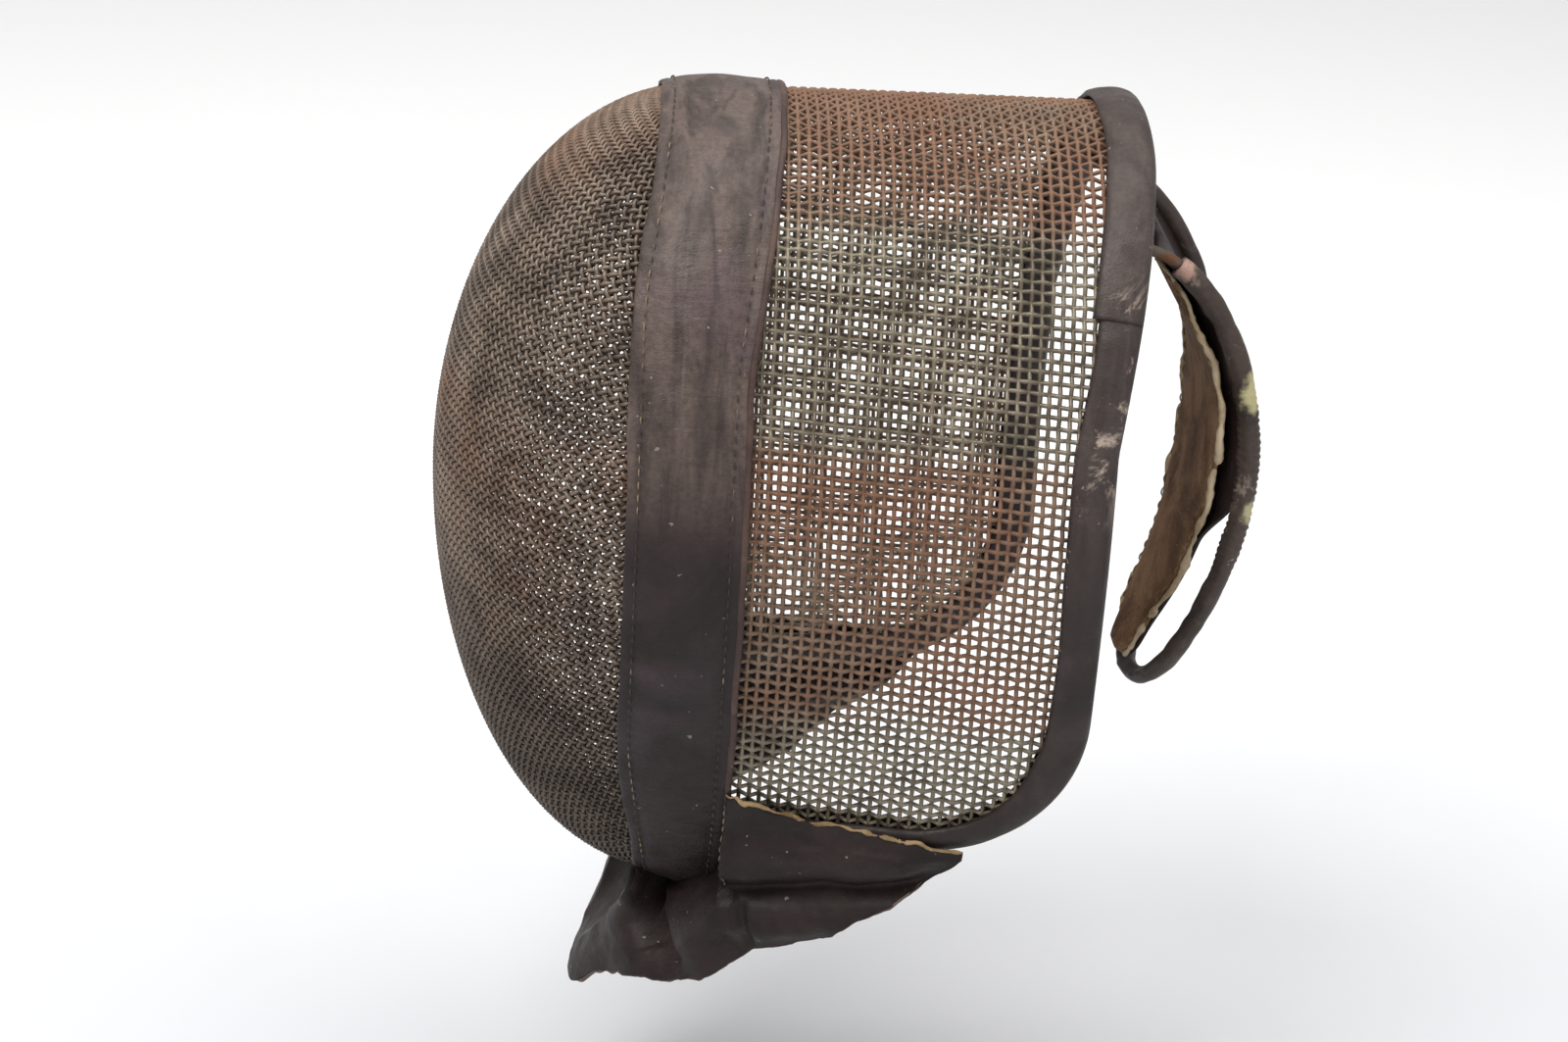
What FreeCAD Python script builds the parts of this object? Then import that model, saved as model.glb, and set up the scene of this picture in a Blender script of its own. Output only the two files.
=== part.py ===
"""Wire-mesh fencing mask with leather trim, a leather throat bib and a sprung back tongue.

Frame: millimetres, +Z up, the face looks along -Y, +X is the wearer's left.
The origin is the centre of the wearer's head.
"""
import FreeCAD
import Part
import Sketcher
import math
import os

V = FreeCAD.Vector

SIZES = {
    # Hoop section: the egg-shaped ring where the front mesh meets the side mesh.
    "hoop_y": -78.0,
    "hoop_half_width": 94.0,
    "hoop_widest_z": 5.0,
    "hoop_crown_radius": 86.0,
    "hoop_top_z": 128.5,
    "hoop_chin_radius": 62.0,
    "hoop_bottom_z": -153.0,
    # Rear section: the wider egg that the side mesh grows towards.
    "rear_y": 80.0,
    "rear_half_width": 96.0,
    "rear_widest_z": -10.0,
    "rear_crown_radius": 88.0,
    "rear_top_z": 128.5,
    "rear_chin_radius": 88.0,
    "rear_bottom_z": -208.0,
    # Front mesh dome.
    "dome_depth": 86.0,
    "dome_axis_z": -3.0,
    # Layers, measured from the middle of the mesh.
    "mesh_half": 1.2,
    "hoop_wire_radius": 1.9,
    "rim_half": 1.9,
    "skin_inside": 2.0,
    "skin_outside": 3.8,
    "mask_clear": 3.9,
    "pad_depth": 12.0,
    "pad_clear": 4.1,
    "mesh_gap": 2.6,
    # Leather band over the joint of the two meshes; it leans back at the crown and the chin.
    "band_front_y": -98.0,
    "band_front_crown_y": -87.0,
    "band_front_chin_y": -87.0,
    "band_rear_y": -60.0,
    "band_rear_crown_y": -48.0,
    "band_bend_radius": 120.0,
    "band_top_z": 150.0,
    "band_front_bend_z": 82.0,
    "band_front_low_bend_z": -75.0,
    "band_rear_bend_z": 62.0,
    "band_bottom_z": -165.0,
    "lining_inset": 3.0,
    "pad_front_y": -76.5,
    "pad_rear_y": -61.0,
    "forehead_pad_low_z": 70.0,
    "cheek_pad_high_z": 55.0,
    "cheek_pad_low_z": -85.0,
    "chin_pad_high_z": -100.0,
    # Rear rim seen from the side.
    "rim_front_y": -118.0,
    "rim_crown_y": 68.5,
    "rim_crown_z": 122.0,
    "rim_upper_y": 56.6,
    "rim_upper_z": 40.0,
    "rim_lower_y": 54.8,
    "rim_lower_z": -108.0,
    "rim_bend_radius": 40.0,
    "rim_corner_radius": 56.0,
    "rim_bar_width": 4.0,
    "rim_bar_gap": 0.2,
    "binding_gap": 0.15,
    "binding_top_width": 14.3,
    "binding_side_width": 11.8,
    "binding_proud": 2.2,
    "binding_seam_z": 80.0,
    "binding_seam_gap": 0.3,
    "binding_top_front_y": 37.0,
    "binding_front_y": -57.0,
    # Throat bib: a leather skirt, trimmed by its hem and by the mask.
    "bib_thickness": 1.8,
    "bib_top_z": -88.0,
    "bib_edge_z": -107.0,
    "bib_low_z": -205.0,
    "bib_back_y": 45.0,
    "bib_top_front_y": -76.0,
    "bib_edge_front_y": -81.6,
    "bib_low_front_y": -110.5,
    "bib_top_front_half": 80.8,
    "bib_top_back_half": 95.2,
    "bib_edge_front_half": 70.6,
    "bib_edge_back_half": 91.4,
    "bib_low_front_half": 49.4,
    "bib_low_back_half": 78.4,
    "bib_top_radius": 36.0,
    "bib_edge_radius": 38.0,
    "bib_low_radius": 44.0,
    "bib_seam_y": -60.0,
    "bib_seam_gap": 0.4,
    # Back tongue.
    "hinge_y": 64.0,
    "hinge_z": 98.0,
    "pintle_end_x": 58.5,
    "staple_x": 54.5,
    "staple_ring_radius": 3.5,
    "staple_wire_radius": 1.0,
    "staple_length": 8.5,
    "tongue_wire_radius": 1.8,
    "cover_inside": 2.0,
    "cover_outside": 3.4,
    "pad_face_thickness": 2.6,
    "pad_back_thickness": 1.6,
    "pad_top_half": 43.0,
    "pad_middle_half": 40.0,
    "pad_low_half": 13.0,
    "pad_middle_z": 20.0,
    "pad_top_z": 96.0,
    "pad_low_z": -68.0,
    "pad_top_radius": 12.0,
    "pad_side_radius": 60.0,
    "pad_low_radius": 10.0,
}
WIDE = 260.0     # length of a trimming prism, wider than the whole mask
FAR = 400.0      # side of a trimming box, larger than the whole mask
ABOVE = "200"    # a height above the whole mask
PLY_GAP = 0.15   # air between the two layers of the tongue's pad

doc = FreeCAD.newDocument("fencing_mask")
sheet = doc.addObject("Spreadsheet::Sheet", "Spec")
for row, (alias, number) in enumerate(SIZES.items(), start=1):
    sheet.set(f"A{row}", alias)
    sheet.set(f"B{row}", str(number))
    sheet.setAlias(f"B{row}", alias)
doc.recompute()


def size(alias):
    """The number in the sheet's cell of that name."""
    return float(getattr(sheet, alias))


# ---------------------------------------------------------------- sketches

FRONT_VIEW = FreeCAD.Rotation(V(1, 0, 0), 90)   # sketch x, y -> X, Z
SIDE_VIEW = FreeCAD.Rotation(V(1, 1, 1), 120)   # sketch x, y -> Y, Z
TOP_VIEW = FreeCAD.Rotation()                   # sketch x, y -> X, Y
NORMAL_OF = {"front": "y", "side": "x", "top": "z"}
ROTATION_OF = {"front": FRONT_VIEW, "side": SIDE_VIEW, "top": TOP_VIEW}
START, END, CENTRE = 1, 2, 3
ORIGIN = (-1, 1)
VERTICAL_AXIS = -2


def new_sketch(name, view, place="0"):
    """An empty sketch in the front, side or top view, at `place` along the view's normal."""
    sketch = doc.addObject("Sketcher::SketchObject", name)
    sketch.Placement = FreeCAD.Placement(V(0, 0, 0), ROTATION_OF[view])
    sketch.setExpression(f"Placement.Base.{NORMAL_OF[view]}", f"{place} * 1 mm")
    return sketch


def measure(sketch, expression):
    return float(sketch.evalExpression(expression))


def fix(sketch, kind, *places, to):
    """Add a sized constraint and bind it to an expression."""
    index = sketch.addConstraint(Sketcher.Constraint(kind, *places, measure(sketch, to)))
    sketch.setExpression(f"Constraints[{index}]", f"({to}) * 1 mm")


def egg(prefix, factor=1.0, grow="0"):
    """Expressions for an egg section, scaled about the dome's axis and grown outwards."""
    wide = f"Spec.{prefix}"
    axis = "Spec.dome_axis_z"
    return {
        "half_width": f"({wide}_half_width + {grow}) * {factor}",
        "widest_z": f"{axis} + ({wide}_widest_z - {axis}) * {factor}",
        "crown_radius": f"({wide}_crown_radius + {grow}) * {factor}",
        "crown_z": f"{axis} + ({wide}_top_z - {wide}_crown_radius - {axis}) * {factor}",
        "chin_radius": f"({wide}_chin_radius + {grow}) * {factor}",
        "chin_z": f"{axis} + ({wide}_bottom_z + {wide}_chin_radius - {axis}) * {factor}",
    }


def egg_sketch(name, section, place):
    """Six tangent arcs: crown, chin, and an upper and a lower side arc on each side."""
    sketch = new_sketch(name, "front", place)
    n = {key: measure(sketch, expression) for key, expression in section.items()}
    half, widest = n["half_width"], n["widest_z"]

    def side_arc(end_z, end_radius):
        """Radius of the side arc, and the angle from its centre to the end arc's centre."""
        rise = abs(end_z - widest)
        radius = (half ** 2 + rise ** 2 - end_radius ** 2) / (2 * (half - end_radius))
        return radius, math.atan2(rise, radius - half)

    upper, up = side_arc(n["crown_z"], n["crown_radius"])
    lower, down = side_arc(n["chin_z"], n["chin_radius"])
    arcs = [
        (0, n["crown_z"], n["crown_radius"], up, math.pi - up),
        (half - upper, widest, upper, 0, up),
        (half - lower, widest, lower, -down, 0),
        (0, n["chin_z"], n["chin_radius"], math.pi + down, 2 * math.pi - down),
        (lower - half, widest, lower, math.pi, math.pi + down),
        (upper - half, widest, upper, math.pi - up, math.pi),
    ]
    for x, z, radius, first, last in arcs:
        circle = Part.Circle(V(x, z, 0), V(0, 0, 1), radius)
        sketch.addGeometry(Part.ArcOfCircle(circle, first, last))
    crown, right_up, right_low, chin, left_low, left_up = range(6)
    for one, other in ((right_up, crown), (crown, left_up), (left_up, left_low),
                       (left_low, chin), (chin, right_low), (right_low, right_up)):
        sketch.addConstraint(Sketcher.Constraint("Tangent", one, END, other, START))
    for arc, height in ((crown, "crown_z"), (chin, "chin_z")):
        sketch.addConstraint(Sketcher.Constraint("PointOnObject", arc, CENTRE, VERTICAL_AXIS))
        fix(sketch, "DistanceY", *ORIGIN, arc, CENTRE, to=section[height])
    fix(sketch, "Radius", crown, to=section["crown_radius"])
    fix(sketch, "Radius", chin, to=section["chin_radius"])
    fix(sketch, "DistanceX", *ORIGIN, right_up, START, to=section["half_width"])
    fix(sketch, "DistanceY", *ORIGIN, right_up, START, to=section["widest_z"])
    sketch.addConstraint(Sketcher.Constraint("Horizontal", right_up, CENTRE, right_up, START))
    sketch.addConstraint(
        Sketcher.Constraint("Symmetric", right_up, START, left_up, END, VERTICAL_AXIS))
    sketch.addConstraint(Sketcher.Constraint("Horizontal", left_up, CENTRE, left_up, END))
    return sketch


def outline(name, view, corners, place="0"):
    """A closed outline of straight sides. A corner is (x, y) or (x, y, radius), as expressions."""
    sketch = new_sketch(name, view, place)
    points = [V(measure(sketch, c[0]), measure(sketch, c[1]), 0) for c in corners]
    radii = [measure(sketch, c[2]) if len(c) > 2 else 0.0 for c in corners]
    count = len(corners)
    trims = []
    for i in range(count):
        to_last = (points[i - 1] - points[i]).normalize()
        to_next = (points[(i + 1) % count] - points[i]).normalize()
        half_angle = to_last.getAngle(to_next) / 2
        trims.append(radii[i] / math.tan(half_angle) if radii[i] else 0.0)
    sides = []
    for i in range(count):
        following = (i + 1) % count
        along = (points[following] - points[i]).normalize()
        first = points[i] + along * trims[i]
        last = points[following] - along * trims[following]
        sides.append(sketch.addGeometry(Part.LineSegment(first, last)))
    for i, corner in enumerate(corners):
        before, after = sides[i - 1], sides[i]
        if radii[i]:
            round_off(sketch, corner, points[i], radii[i], before, after)
        else:
            sketch.addConstraint(Sketcher.Constraint("Coincident", before, END, after, START))
            fix(sketch, "DistanceX", *ORIGIN, after, START, to=corner[0])
            fix(sketch, "DistanceY", *ORIGIN, after, START, to=corner[1])
    return sketch


def round_off(sketch, corner, point, radius, before, after):
    """Join two sides with a tangent arc; a construction point holds their sharp corner."""
    end = sketch.getPoint(before, END)
    start = sketch.getPoint(after, START)
    bisector = ((end - point).normalize() + (start - point).normalize()).normalize()
    reach = math.hypot(radius, (end - point).Length)
    centre = point + bisector * reach
    middle = centre - bisector * radius
    arc = Part.Arc(end, middle, start)
    arc_index = sketch.addGeometry(arc)
    turns_left = (end - centre).cross(start - centre).z > 0
    first, last = (START, END) if turns_left else (END, START)
    sketch.addConstraint(Sketcher.Constraint("Tangent", before, END, arc_index, first))
    sketch.addConstraint(Sketcher.Constraint("Tangent", arc_index, last, after, START))
    fix(sketch, "Radius", arc_index, to=corner[2])
    held = sketch.addGeometry(Part.Point(point), True)
    fix(sketch, "DistanceX", *ORIGIN, held, START, to=corner[0])
    fix(sketch, "DistanceY", *ORIGIN, held, START, to=corner[1])
    for side in (before, after):
        sketch.addConstraint(Sketcher.Constraint("PointOnObject", held, START, side))


# ---------------------------------------------------------------- solids

def prism(name, sketch, length=WIDE):
    """Extrude a closed outline both ways along its normal."""
    solid = doc.addObject("Part::Extrusion", name)
    solid.Base = sketch
    solid.DirMode = "Normal"
    solid.Symmetric = True
    solid.LengthFwd = length
    solid.Solid = True
    return solid


def loft(name, sections, ruled):
    solid = doc.addObject("Part::Loft", name)
    solid.Sections = sections
    solid.Solid = True
    solid.Ruled = ruled
    return solid


def combine(kind, name, base, tool):
    """A Part::Cut, Part::Common or Part::Fuse of two objects."""
    solid = doc.addObject(f"Part::{kind}", name)
    solid.Base = base
    solid.Tool = tool
    return solid


def slab(name, **limits):
    """A trimming box: a very large cube cut off at the limits, given as expressions."""
    box = doc.addObject("Part::Box", name)
    for axis, side in zip("xyz", ("Length", "Width", "Height")):
        low = limits.get(f"{axis}_low", f"{-FAR / 2}")
        high = limits.get(f"{axis}_high", f"{FAR / 2}")
        box.setExpression(f"Placement.Base.{axis}", f"({low}) * 1 mm")
        box.setExpression(side, f"(({high}) - ({low})) * 1 mm")
    return box


BARRELS = {}
DOMES = {}


def barrel(grow):
    """Solid inside the side mesh's middle surface, grown by an expression."""
    if grow not in BARRELS:
        tag = f"barrel_{len(BARRELS)}"
        front = egg_sketch(f"{tag}_front", egg("hoop", grow=grow), "Spec.hoop_y")
        rear = egg_sketch(f"{tag}_rear", egg("rear", grow=grow), "Spec.rear_y")
        BARRELS[grow] = loft(tag, [front, rear], ruled=True)
    return BARRELS[grow]


DOME_ANGLES = (0, 12, 25, 38, 50, 61, 71, 79, 86)  # degrees from the hoop plane to the nose


def dome(grow):
    """Solid inside the front mesh's middle surface: the hoop's egg shrinking as an ellipse."""
    if grow not in DOMES:
        tag = f"dome_{len(DOMES)}"
        sections = []
        for angle in DOME_ANGLES:
            turn = math.radians(angle)
            place = f"(Spec.hoop_y - (Spec.dome_depth + {grow}) * {math.sin(turn)})"
            shape = egg("hoop", factor=math.cos(turn), grow=grow)
            sections.append(egg_sketch(f"{tag}_at_{angle}", shape, place))
        DOMES[grow] = loft(tag, sections, ruled=False)
    return DOMES[grow]


def barrel_shell(name, inner, outer):
    return combine("Cut", name, barrel(outer), barrel(inner))


def dome_shell(name, inner, outer):
    return combine("Cut", name, dome(outer), dome(inner))


def named(solid, label):
    solid.Label = label
    PARTS.append(solid)
    return solid


PARTS = []


# ---------------------------------------------------------------- rim outline

def rim_outline(name, front):
    """Side view of the side mesh: crown, slanting rear edge, round lower corner, lower edge."""
    return outline(name, "side", [
        (front, ABOVE),
        (front, "Spec.rim_lower_z"),
        ("Spec.rim_lower_y", "Spec.rim_lower_z", "Spec.rim_corner_radius"),
        ("Spec.rim_upper_y", "Spec.rim_upper_z", "Spec.rim_bend_radius"),
        ("Spec.rim_crown_y", "Spec.rim_crown_z", "Spec.rim_bend_radius"),
        ("Spec.rim_crown_y", ABOVE),
    ])


def offset_outline(name, source, distance):
    """The outline moved outwards by an expression, as a parallel curve."""
    moved = doc.addObject("Part::Offset2D", name)
    moved.Source = source
    moved.Join = "Intersection"
    moved.setExpression("Value", f"({distance}) * 1 mm")
    return moved


rim_side = rim_outline("rim_side", "Spec.rim_front_y")
rim_full = prism("rim_full", rim_side)
rim_inside_bar = prism(
    "rim_inside_bar",
    offset_outline("rim_side_bar", rim_side, "-(Spec.rim_bar_width + Spec.rim_bar_gap)"))
rim_proud = prism(
    "rim_proud", offset_outline("rim_side_proud", rim_side, "Spec.binding_proud"))
rim_clear = prism(
    "rim_clear", offset_outline("rim_side_clear", rim_side, "Spec.binding_gap"))
behind_hoop = slab("behind_hoop", y_low="Spec.hoop_y + Spec.mesh_gap")


# ---------------------------------------------------------------- meshes, hoop and rim

def make_front_mesh():
    """Front mesh: a thin domed shell, open at the back, ending just before the hoop."""
    shell = dome_shell("front_mesh_shell", "-Spec.mesh_half", "Spec.mesh_half")
    front = slab("ahead_of_hoop", y_high="Spec.hoop_y - Spec.mesh_gap")
    named(combine("Common", "front_mesh_piece", shell, front), "front_mesh")


def make_side_mesh():
    """Side and crown mesh: one sheet bent from jaw over the crown to jaw."""
    shell = barrel_shell("side_mesh_shell", "-Spec.mesh_half", "Spec.mesh_half")
    trimmed = combine("Common", "side_mesh_trimmed", shell, rim_inside_bar)
    named(combine("Common", "side_mesh_piece", trimmed, behind_hoop), "side_mesh")


def make_hoop_wire():
    """Round wire ring between the two meshes, swept along the hoop's egg."""
    spine = egg_sketch("hoop_spine", egg("hoop"), "Spec.hoop_y")
    ring = new_sketch("hoop_wire_section", "side")
    ring.addGeometry(Part.Circle(V(size("hoop_y"), size("hoop_top_z"), 0), V(0, 0, 1), 1))
    fix(ring, "DistanceX", *ORIGIN, 0, CENTRE, to="Spec.hoop_y")
    fix(ring, "DistanceY", *ORIGIN, 0, CENTRE, to="Spec.hoop_top_z")
    fix(ring, "Radius", 0, to="Spec.hoop_wire_radius")
    doc.recompute()
    wire = doc.addObject("Part::Sweep", "hoop_wire_sweep")
    wire.Sections = [ring]
    edges = [f"Edge{i + 1}" for i in range(len(spine.Shape.Edges))]
    wire.Spine = (spine, edges)
    wire.Solid = True
    wire.Frenet = True
    named(wire, "hoop_wire")


def make_rear_rim_bar():
    """Steel edge bar along the rear and lower edges of the side mesh."""
    shell = barrel_shell("rim_bar_shell", "-Spec.rim_half", "Spec.rim_half")
    strip = combine("Cut", "rim_bar_strip", rim_full, prism(
        "rim_bar_inner", offset_outline("rim_side_bar_inner", rim_side, "-Spec.rim_bar_width")))
    bar = combine("Common", "rim_bar_long", shell, strip)
    named(combine("Common", "rim_bar_piece", bar, behind_hoop), "rear_rim_bar")


# ---------------------------------------------------------------- leather

def band_side(name, inset):
    """The band in side view, its two edges moved inwards by an expression."""
    bend = "Spec.band_bend_radius"
    return outline(name, "side", [
        (f"Spec.band_front_crown_y + {inset}", "Spec.band_top_z"),
        (f"Spec.band_front_y + {inset}", "Spec.band_front_bend_z", bend),
        (f"Spec.band_front_y + {inset}", "Spec.band_front_low_bend_z", bend),
        (f"Spec.band_front_chin_y + {inset}", "Spec.band_bottom_z"),
        (f"Spec.band_rear_y - {inset}", "Spec.band_bottom_z"),
        (f"Spec.band_rear_y - {inset}", "Spec.band_rear_bend_z", bend),
        (f"Spec.band_rear_crown_y - {inset}", "Spec.band_top_z"),
    ])


def make_band(label, inner, outer, strip):
    """A leather strip round the hoop: part of it lies on the dome, part on the barrel."""
    dome_half = combine(
        "Common", f"{label}_dome_half", dome_shell(f"{label}_dome_shell", inner, outer),
        slab(f"{label}_ahead", y_high="Spec.hoop_y"))
    barrel_half = combine(
        "Common", f"{label}_barrel_half", barrel_shell(f"{label}_barrel_shell", inner, outer),
        slab(f"{label}_behind", y_low="Spec.hoop_y"))
    on_dome = combine("Common", f"{label}_on_dome", dome_half, strip)
    on_barrel = combine("Common", f"{label}_on_barrel", barrel_half, strip)
    named(combine("Fuse", f"{label}_piece", on_dome, on_barrel), label)


def make_bands():
    """The outer band and, inset from its edges, the lining inside the hoop."""
    make_band("front_band", "Spec.skin_inside", "Spec.skin_outside",
              prism("band_strip", band_side("band_side", "0")))
    make_band("band_lining", "-Spec.skin_outside", "-Spec.skin_inside",
              prism("lining_strip", band_side("lining_side", "Spec.lining_inset")))


def make_bindings():
    """Leather folded round the rear rim: a crown piece and a piece down each side."""
    core = combine(
        "Common", "binding_core",
        barrel_shell("binding_core_shell", "-Spec.skin_inside", "Spec.skin_inside"), rim_clear)
    folded = {}
    for kind in ("top", "side"):
        inside = prism(f"rim_inside_{kind}_binding", offset_outline(
            f"rim_side_{kind}_binding", rim_side, f"-Spec.binding_{kind}_width"))
        block = combine(
            "Common", f"binding_{kind}_block",
            barrel_shell(f"binding_{kind}_shell", "-Spec.skin_outside", "Spec.skin_outside"),
            combine("Cut", f"binding_{kind}_strip", rim_proud, inside))
        folded[kind] = combine("Cut", f"binding_{kind}_folded", block, core)
    below_seam = {"z_high": "Spec.binding_seam_z - Spec.binding_seam_gap",
                  "y_low": "Spec.binding_front_y"}
    limits = {
        "rear_binding_top": {"z_low": "Spec.binding_seam_z", "y_low": "Spec.binding_top_front_y"},
        "rear_binding_left": {"x_low": "0", **below_seam},
        "rear_binding_right": {"x_high": "0", **below_seam},
    }
    for label, limit in limits.items():
        kind = "top" if label == "rear_binding_top" else "side"
        part = combine("Common", f"{label}_piece", folded[kind], slab(f"{label}_limit", **limit))
        named(part, label)


# The bib's pieces in side view: (back, up) or (back, up, corner radius).
BIB_FRONT_SIDE = [
    ("Spec.bib_seam_y - Spec.bib_seam_gap", "-167"),
    ("Spec.bib_seam_y - Spec.bib_seam_gap", "-112"),
    ("-104", "-134"), ("-116", "-134"), ("-116", "-204"), ("-109", "-201"), ("-100", "-182", "20"),
    ("-84", "-176", "40"),
]
BIB_GUSSET_SIDE = [
    ("Spec.bib_seam_y", "-166.5"), ("-47", "-157"), ("-20", "-142", "30"), ("5", "-124", "30"),
    ("22.5", "-109"), ("22.5", "-105.3"), ("Spec.bib_seam_y", "-91.5"),
]


def skirt_section(name, height, level, grow):
    """Plan view of the bib's skirt: rounded front corners, straight sides, closed back."""
    front_half = f"(Spec.bib_{level}_front_half + {grow})"
    back_half = f"(Spec.bib_{level}_back_half + {grow})"
    front = f"(Spec.bib_{level}_front_y - {grow})"
    radius = f"(Spec.bib_{level}_radius + {grow})"
    return outline(name, "top", [
        (back_half, "Spec.bib_back_y"),
        ("-" + back_half, "Spec.bib_back_y"),
        ("-" + front_half, front, radius),
        (front_half, front, radius),
    ], height)


def make_bib():
    """Throat bib: a front piece below the chin and a gusset along each lower edge."""
    skirts = []
    for name, grow in (("bib_outer", "0"), ("bib_inner", "(-Spec.bib_thickness)")):
        levels = [
            skirt_section(f"{name}_{level}", f"Spec.bib_{level}_z", level, grow)
            for level in ("top", "edge", "low")]
        skirts.append(loft(f"{name}_loft", levels, ruled=True))
    shell = combine("Cut", "bib_shell", *skirts)
    outside_barrel = combine("Cut", "bib_outside_barrel", shell, barrel("Spec.mask_clear"))
    outside = combine("Cut", "bib_outside_mask", outside_barrel, dome("Spec.mask_clear"))
    front_hem = prism("bib_front_hem", outline("bib_front_side", "side", BIB_FRONT_SIDE))
    side_hem = prism("bib_side_hem", outline("bib_gusset_side", "side", BIB_GUSSET_SIDE))
    named(combine("Common", "bib_front_piece", outside, front_hem), "bib_front")
    for label, side in (("bib_gusset_left", {"x_low": "0"}), ("bib_gusset_right", {"x_high": "0"})):
        half = combine("Common", f"{label}_half", outside, slab(f"{label}_side", **side))
        named(combine("Common", f"{label}_piece", half, side_hem), label)


def make_face_pads():
    """Padded roll inside the hoop: forehead, cheeks and chin."""
    roll = combine(
        "Common", "face_roll",
        barrel_shell("face_roll_shell", "-Spec.pad_depth", "-Spec.pad_clear"),
        slab("face_roll_width", y_low="Spec.pad_front_y", y_high="Spec.pad_rear_y"))
    cheek = {"z_low": "Spec.cheek_pad_low_z", "z_high": "Spec.cheek_pad_high_z"}
    limits = {
        "forehead_pad": {"z_low": "Spec.forehead_pad_low_z"},
        "cheek_pad_left": {"x_low": "0", **cheek},
        "cheek_pad_right": {"x_high": "0", **cheek},
        "chin_pad": {"z_high": "Spec.chin_pad_high_z"},
    }
    for label, limit in limits.items():
        part = combine("Common", f"{label}_piece", roll, slab(f"{label}_limit", **limit))
        named(part, label)


# ---------------------------------------------------------------- back tongue

# The tongue's spring in side view, from the hinge down: (across, back, up).
TONGUE_LEG = [
    (48.5, 64.0, 98.0), (48.2, 79.5, 92.0), (47.6, 92.5, 78.5), (46.8, 102.0, 61.0),
    (45.8, 107.5, 43.0), (44.6, 110.6, 24.0), (43.0, 110.4, 4.0), (41.0, 107.0, -16.0),
    (37.6, 101.0, -37.0), (31.0, 92.5, -58.0), (18.0, 86.0, -71.0),
]
TONGUE_TIP = (0.0, 83.5, -75.0)
BARE_EDGES = 4  # edges of the path left bare of the sleeve at each end
# The face pad in side view, from the top down: (back, up).
PAD_ROUTE = [
    (73.5, 93.5), (84.0, 75.5), (95.0, 58.0), (100.5, 43.0), (101.8, 27.0), (100.6, 8.0),
    (97.8, -13.0), (92.0, -35.0), (84.5, -56.0), (80.0, -66.0),
]


def rounded_route(points):
    """Straight runs joined by tangent arcs, each as large as its two runs allow."""
    edges = []
    last = points[0]
    for before, corner, after in zip(points, points[1:], points[2:]):
        incoming = (corner - before).normalize()
        outgoing = (after - corner).normalize()
        trim = 0.45 * min((corner - before).Length, (after - corner).Length)
        start = corner - incoming * trim
        end = corner + outgoing * trim
        bisector = (outgoing - incoming).normalize()
        half_turn = incoming.getAngle(outgoing) / 2
        radius = trim / math.tan(half_turn)
        middle = corner + bisector * (math.hypot(radius, trim) - radius)
        edges.append(Part.LineSegment(last, start).toShape())
        edges.append(Part.Arc(start, middle, end).toShape())
        last = end
    edges.append(Part.LineSegment(last, points[-1]).toShape())
    return Part.Wire(edges)


def tube(path, radii):
    """Sweep a disc or a ring along a path whose first edge is straight."""
    start, end = (vertex.Point for vertex in path.OrderedVertexes[:2])
    along = (end - start).normalize()
    solids = []
    for radius in radii:
        section = Part.Wire(Part.makeCircle(radius, start, along))
        solids.append(path.makePipeShell([section], True, True))
    return solids[0].cut(solids[1]) if len(solids) > 1 else solids[0]


def shaped(name, shape, label):
    """A sub-part whose free-form shape is set in code."""
    piece = doc.addObject("Part::Feature", name)
    piece.Shape = shape
    return named(piece, label)


def tongue_path():
    """The whole U of the spring: left pintle, left leg, tip, right leg, right pintle."""
    end = V(size("pintle_end_x"), size("hinge_y"), size("hinge_z"))
    left = [end] + [V(*point) for point in TONGUE_LEG]
    right = [V(-p.x, p.y, p.z) for p in reversed(left)]
    return rounded_route(left + [V(*TONGUE_TIP)] + right)


def make_tongue_wire():
    """Spring wire: a U with its two ends turned outwards as pintles on the hinge axis."""
    shaped("tongue_wire", tube(tongue_path(), [size("tongue_wire_radius")]), "tongue_spring_wire")


def make_tongue_cover():
    """Leather sleeve sewn round the spring from just below the hinge."""
    covered = Part.Wire(tongue_path().OrderedEdges[BARE_EDGES:-BARE_EDGES])
    cover = tube(covered, [size("cover_outside"), size("cover_inside")])
    shaped("tongue_cover", cover, "tongue_wire_cover")


def pad_layer(near, far):
    """A strip between two parallels of the pad's side-view route, as wide as the prism."""
    route = rounded_route([V(0, y, z) for y, z in PAD_ROUTE])
    near_edge = route.makeOffset2D(near, 0, False, True)
    far_edge = route.makeOffset2D(far, 0, False, True)
    ends = []
    for vertex in (0, -1):
        ends.append(Part.makeLine(near_edge.OrderedVertexes[vertex].Point,
                                  far_edge.OrderedVertexes[vertex].Point))
    outline_wire = Part.Wire(Part.__sortEdges__(near_edge.Edges + far_edge.Edges + ends))
    face = Part.Face(outline_wire)
    face.translate(V(-WIDE / 2, 0, 0))
    return face.extrude(V(WIDE, 0, 0))


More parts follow.
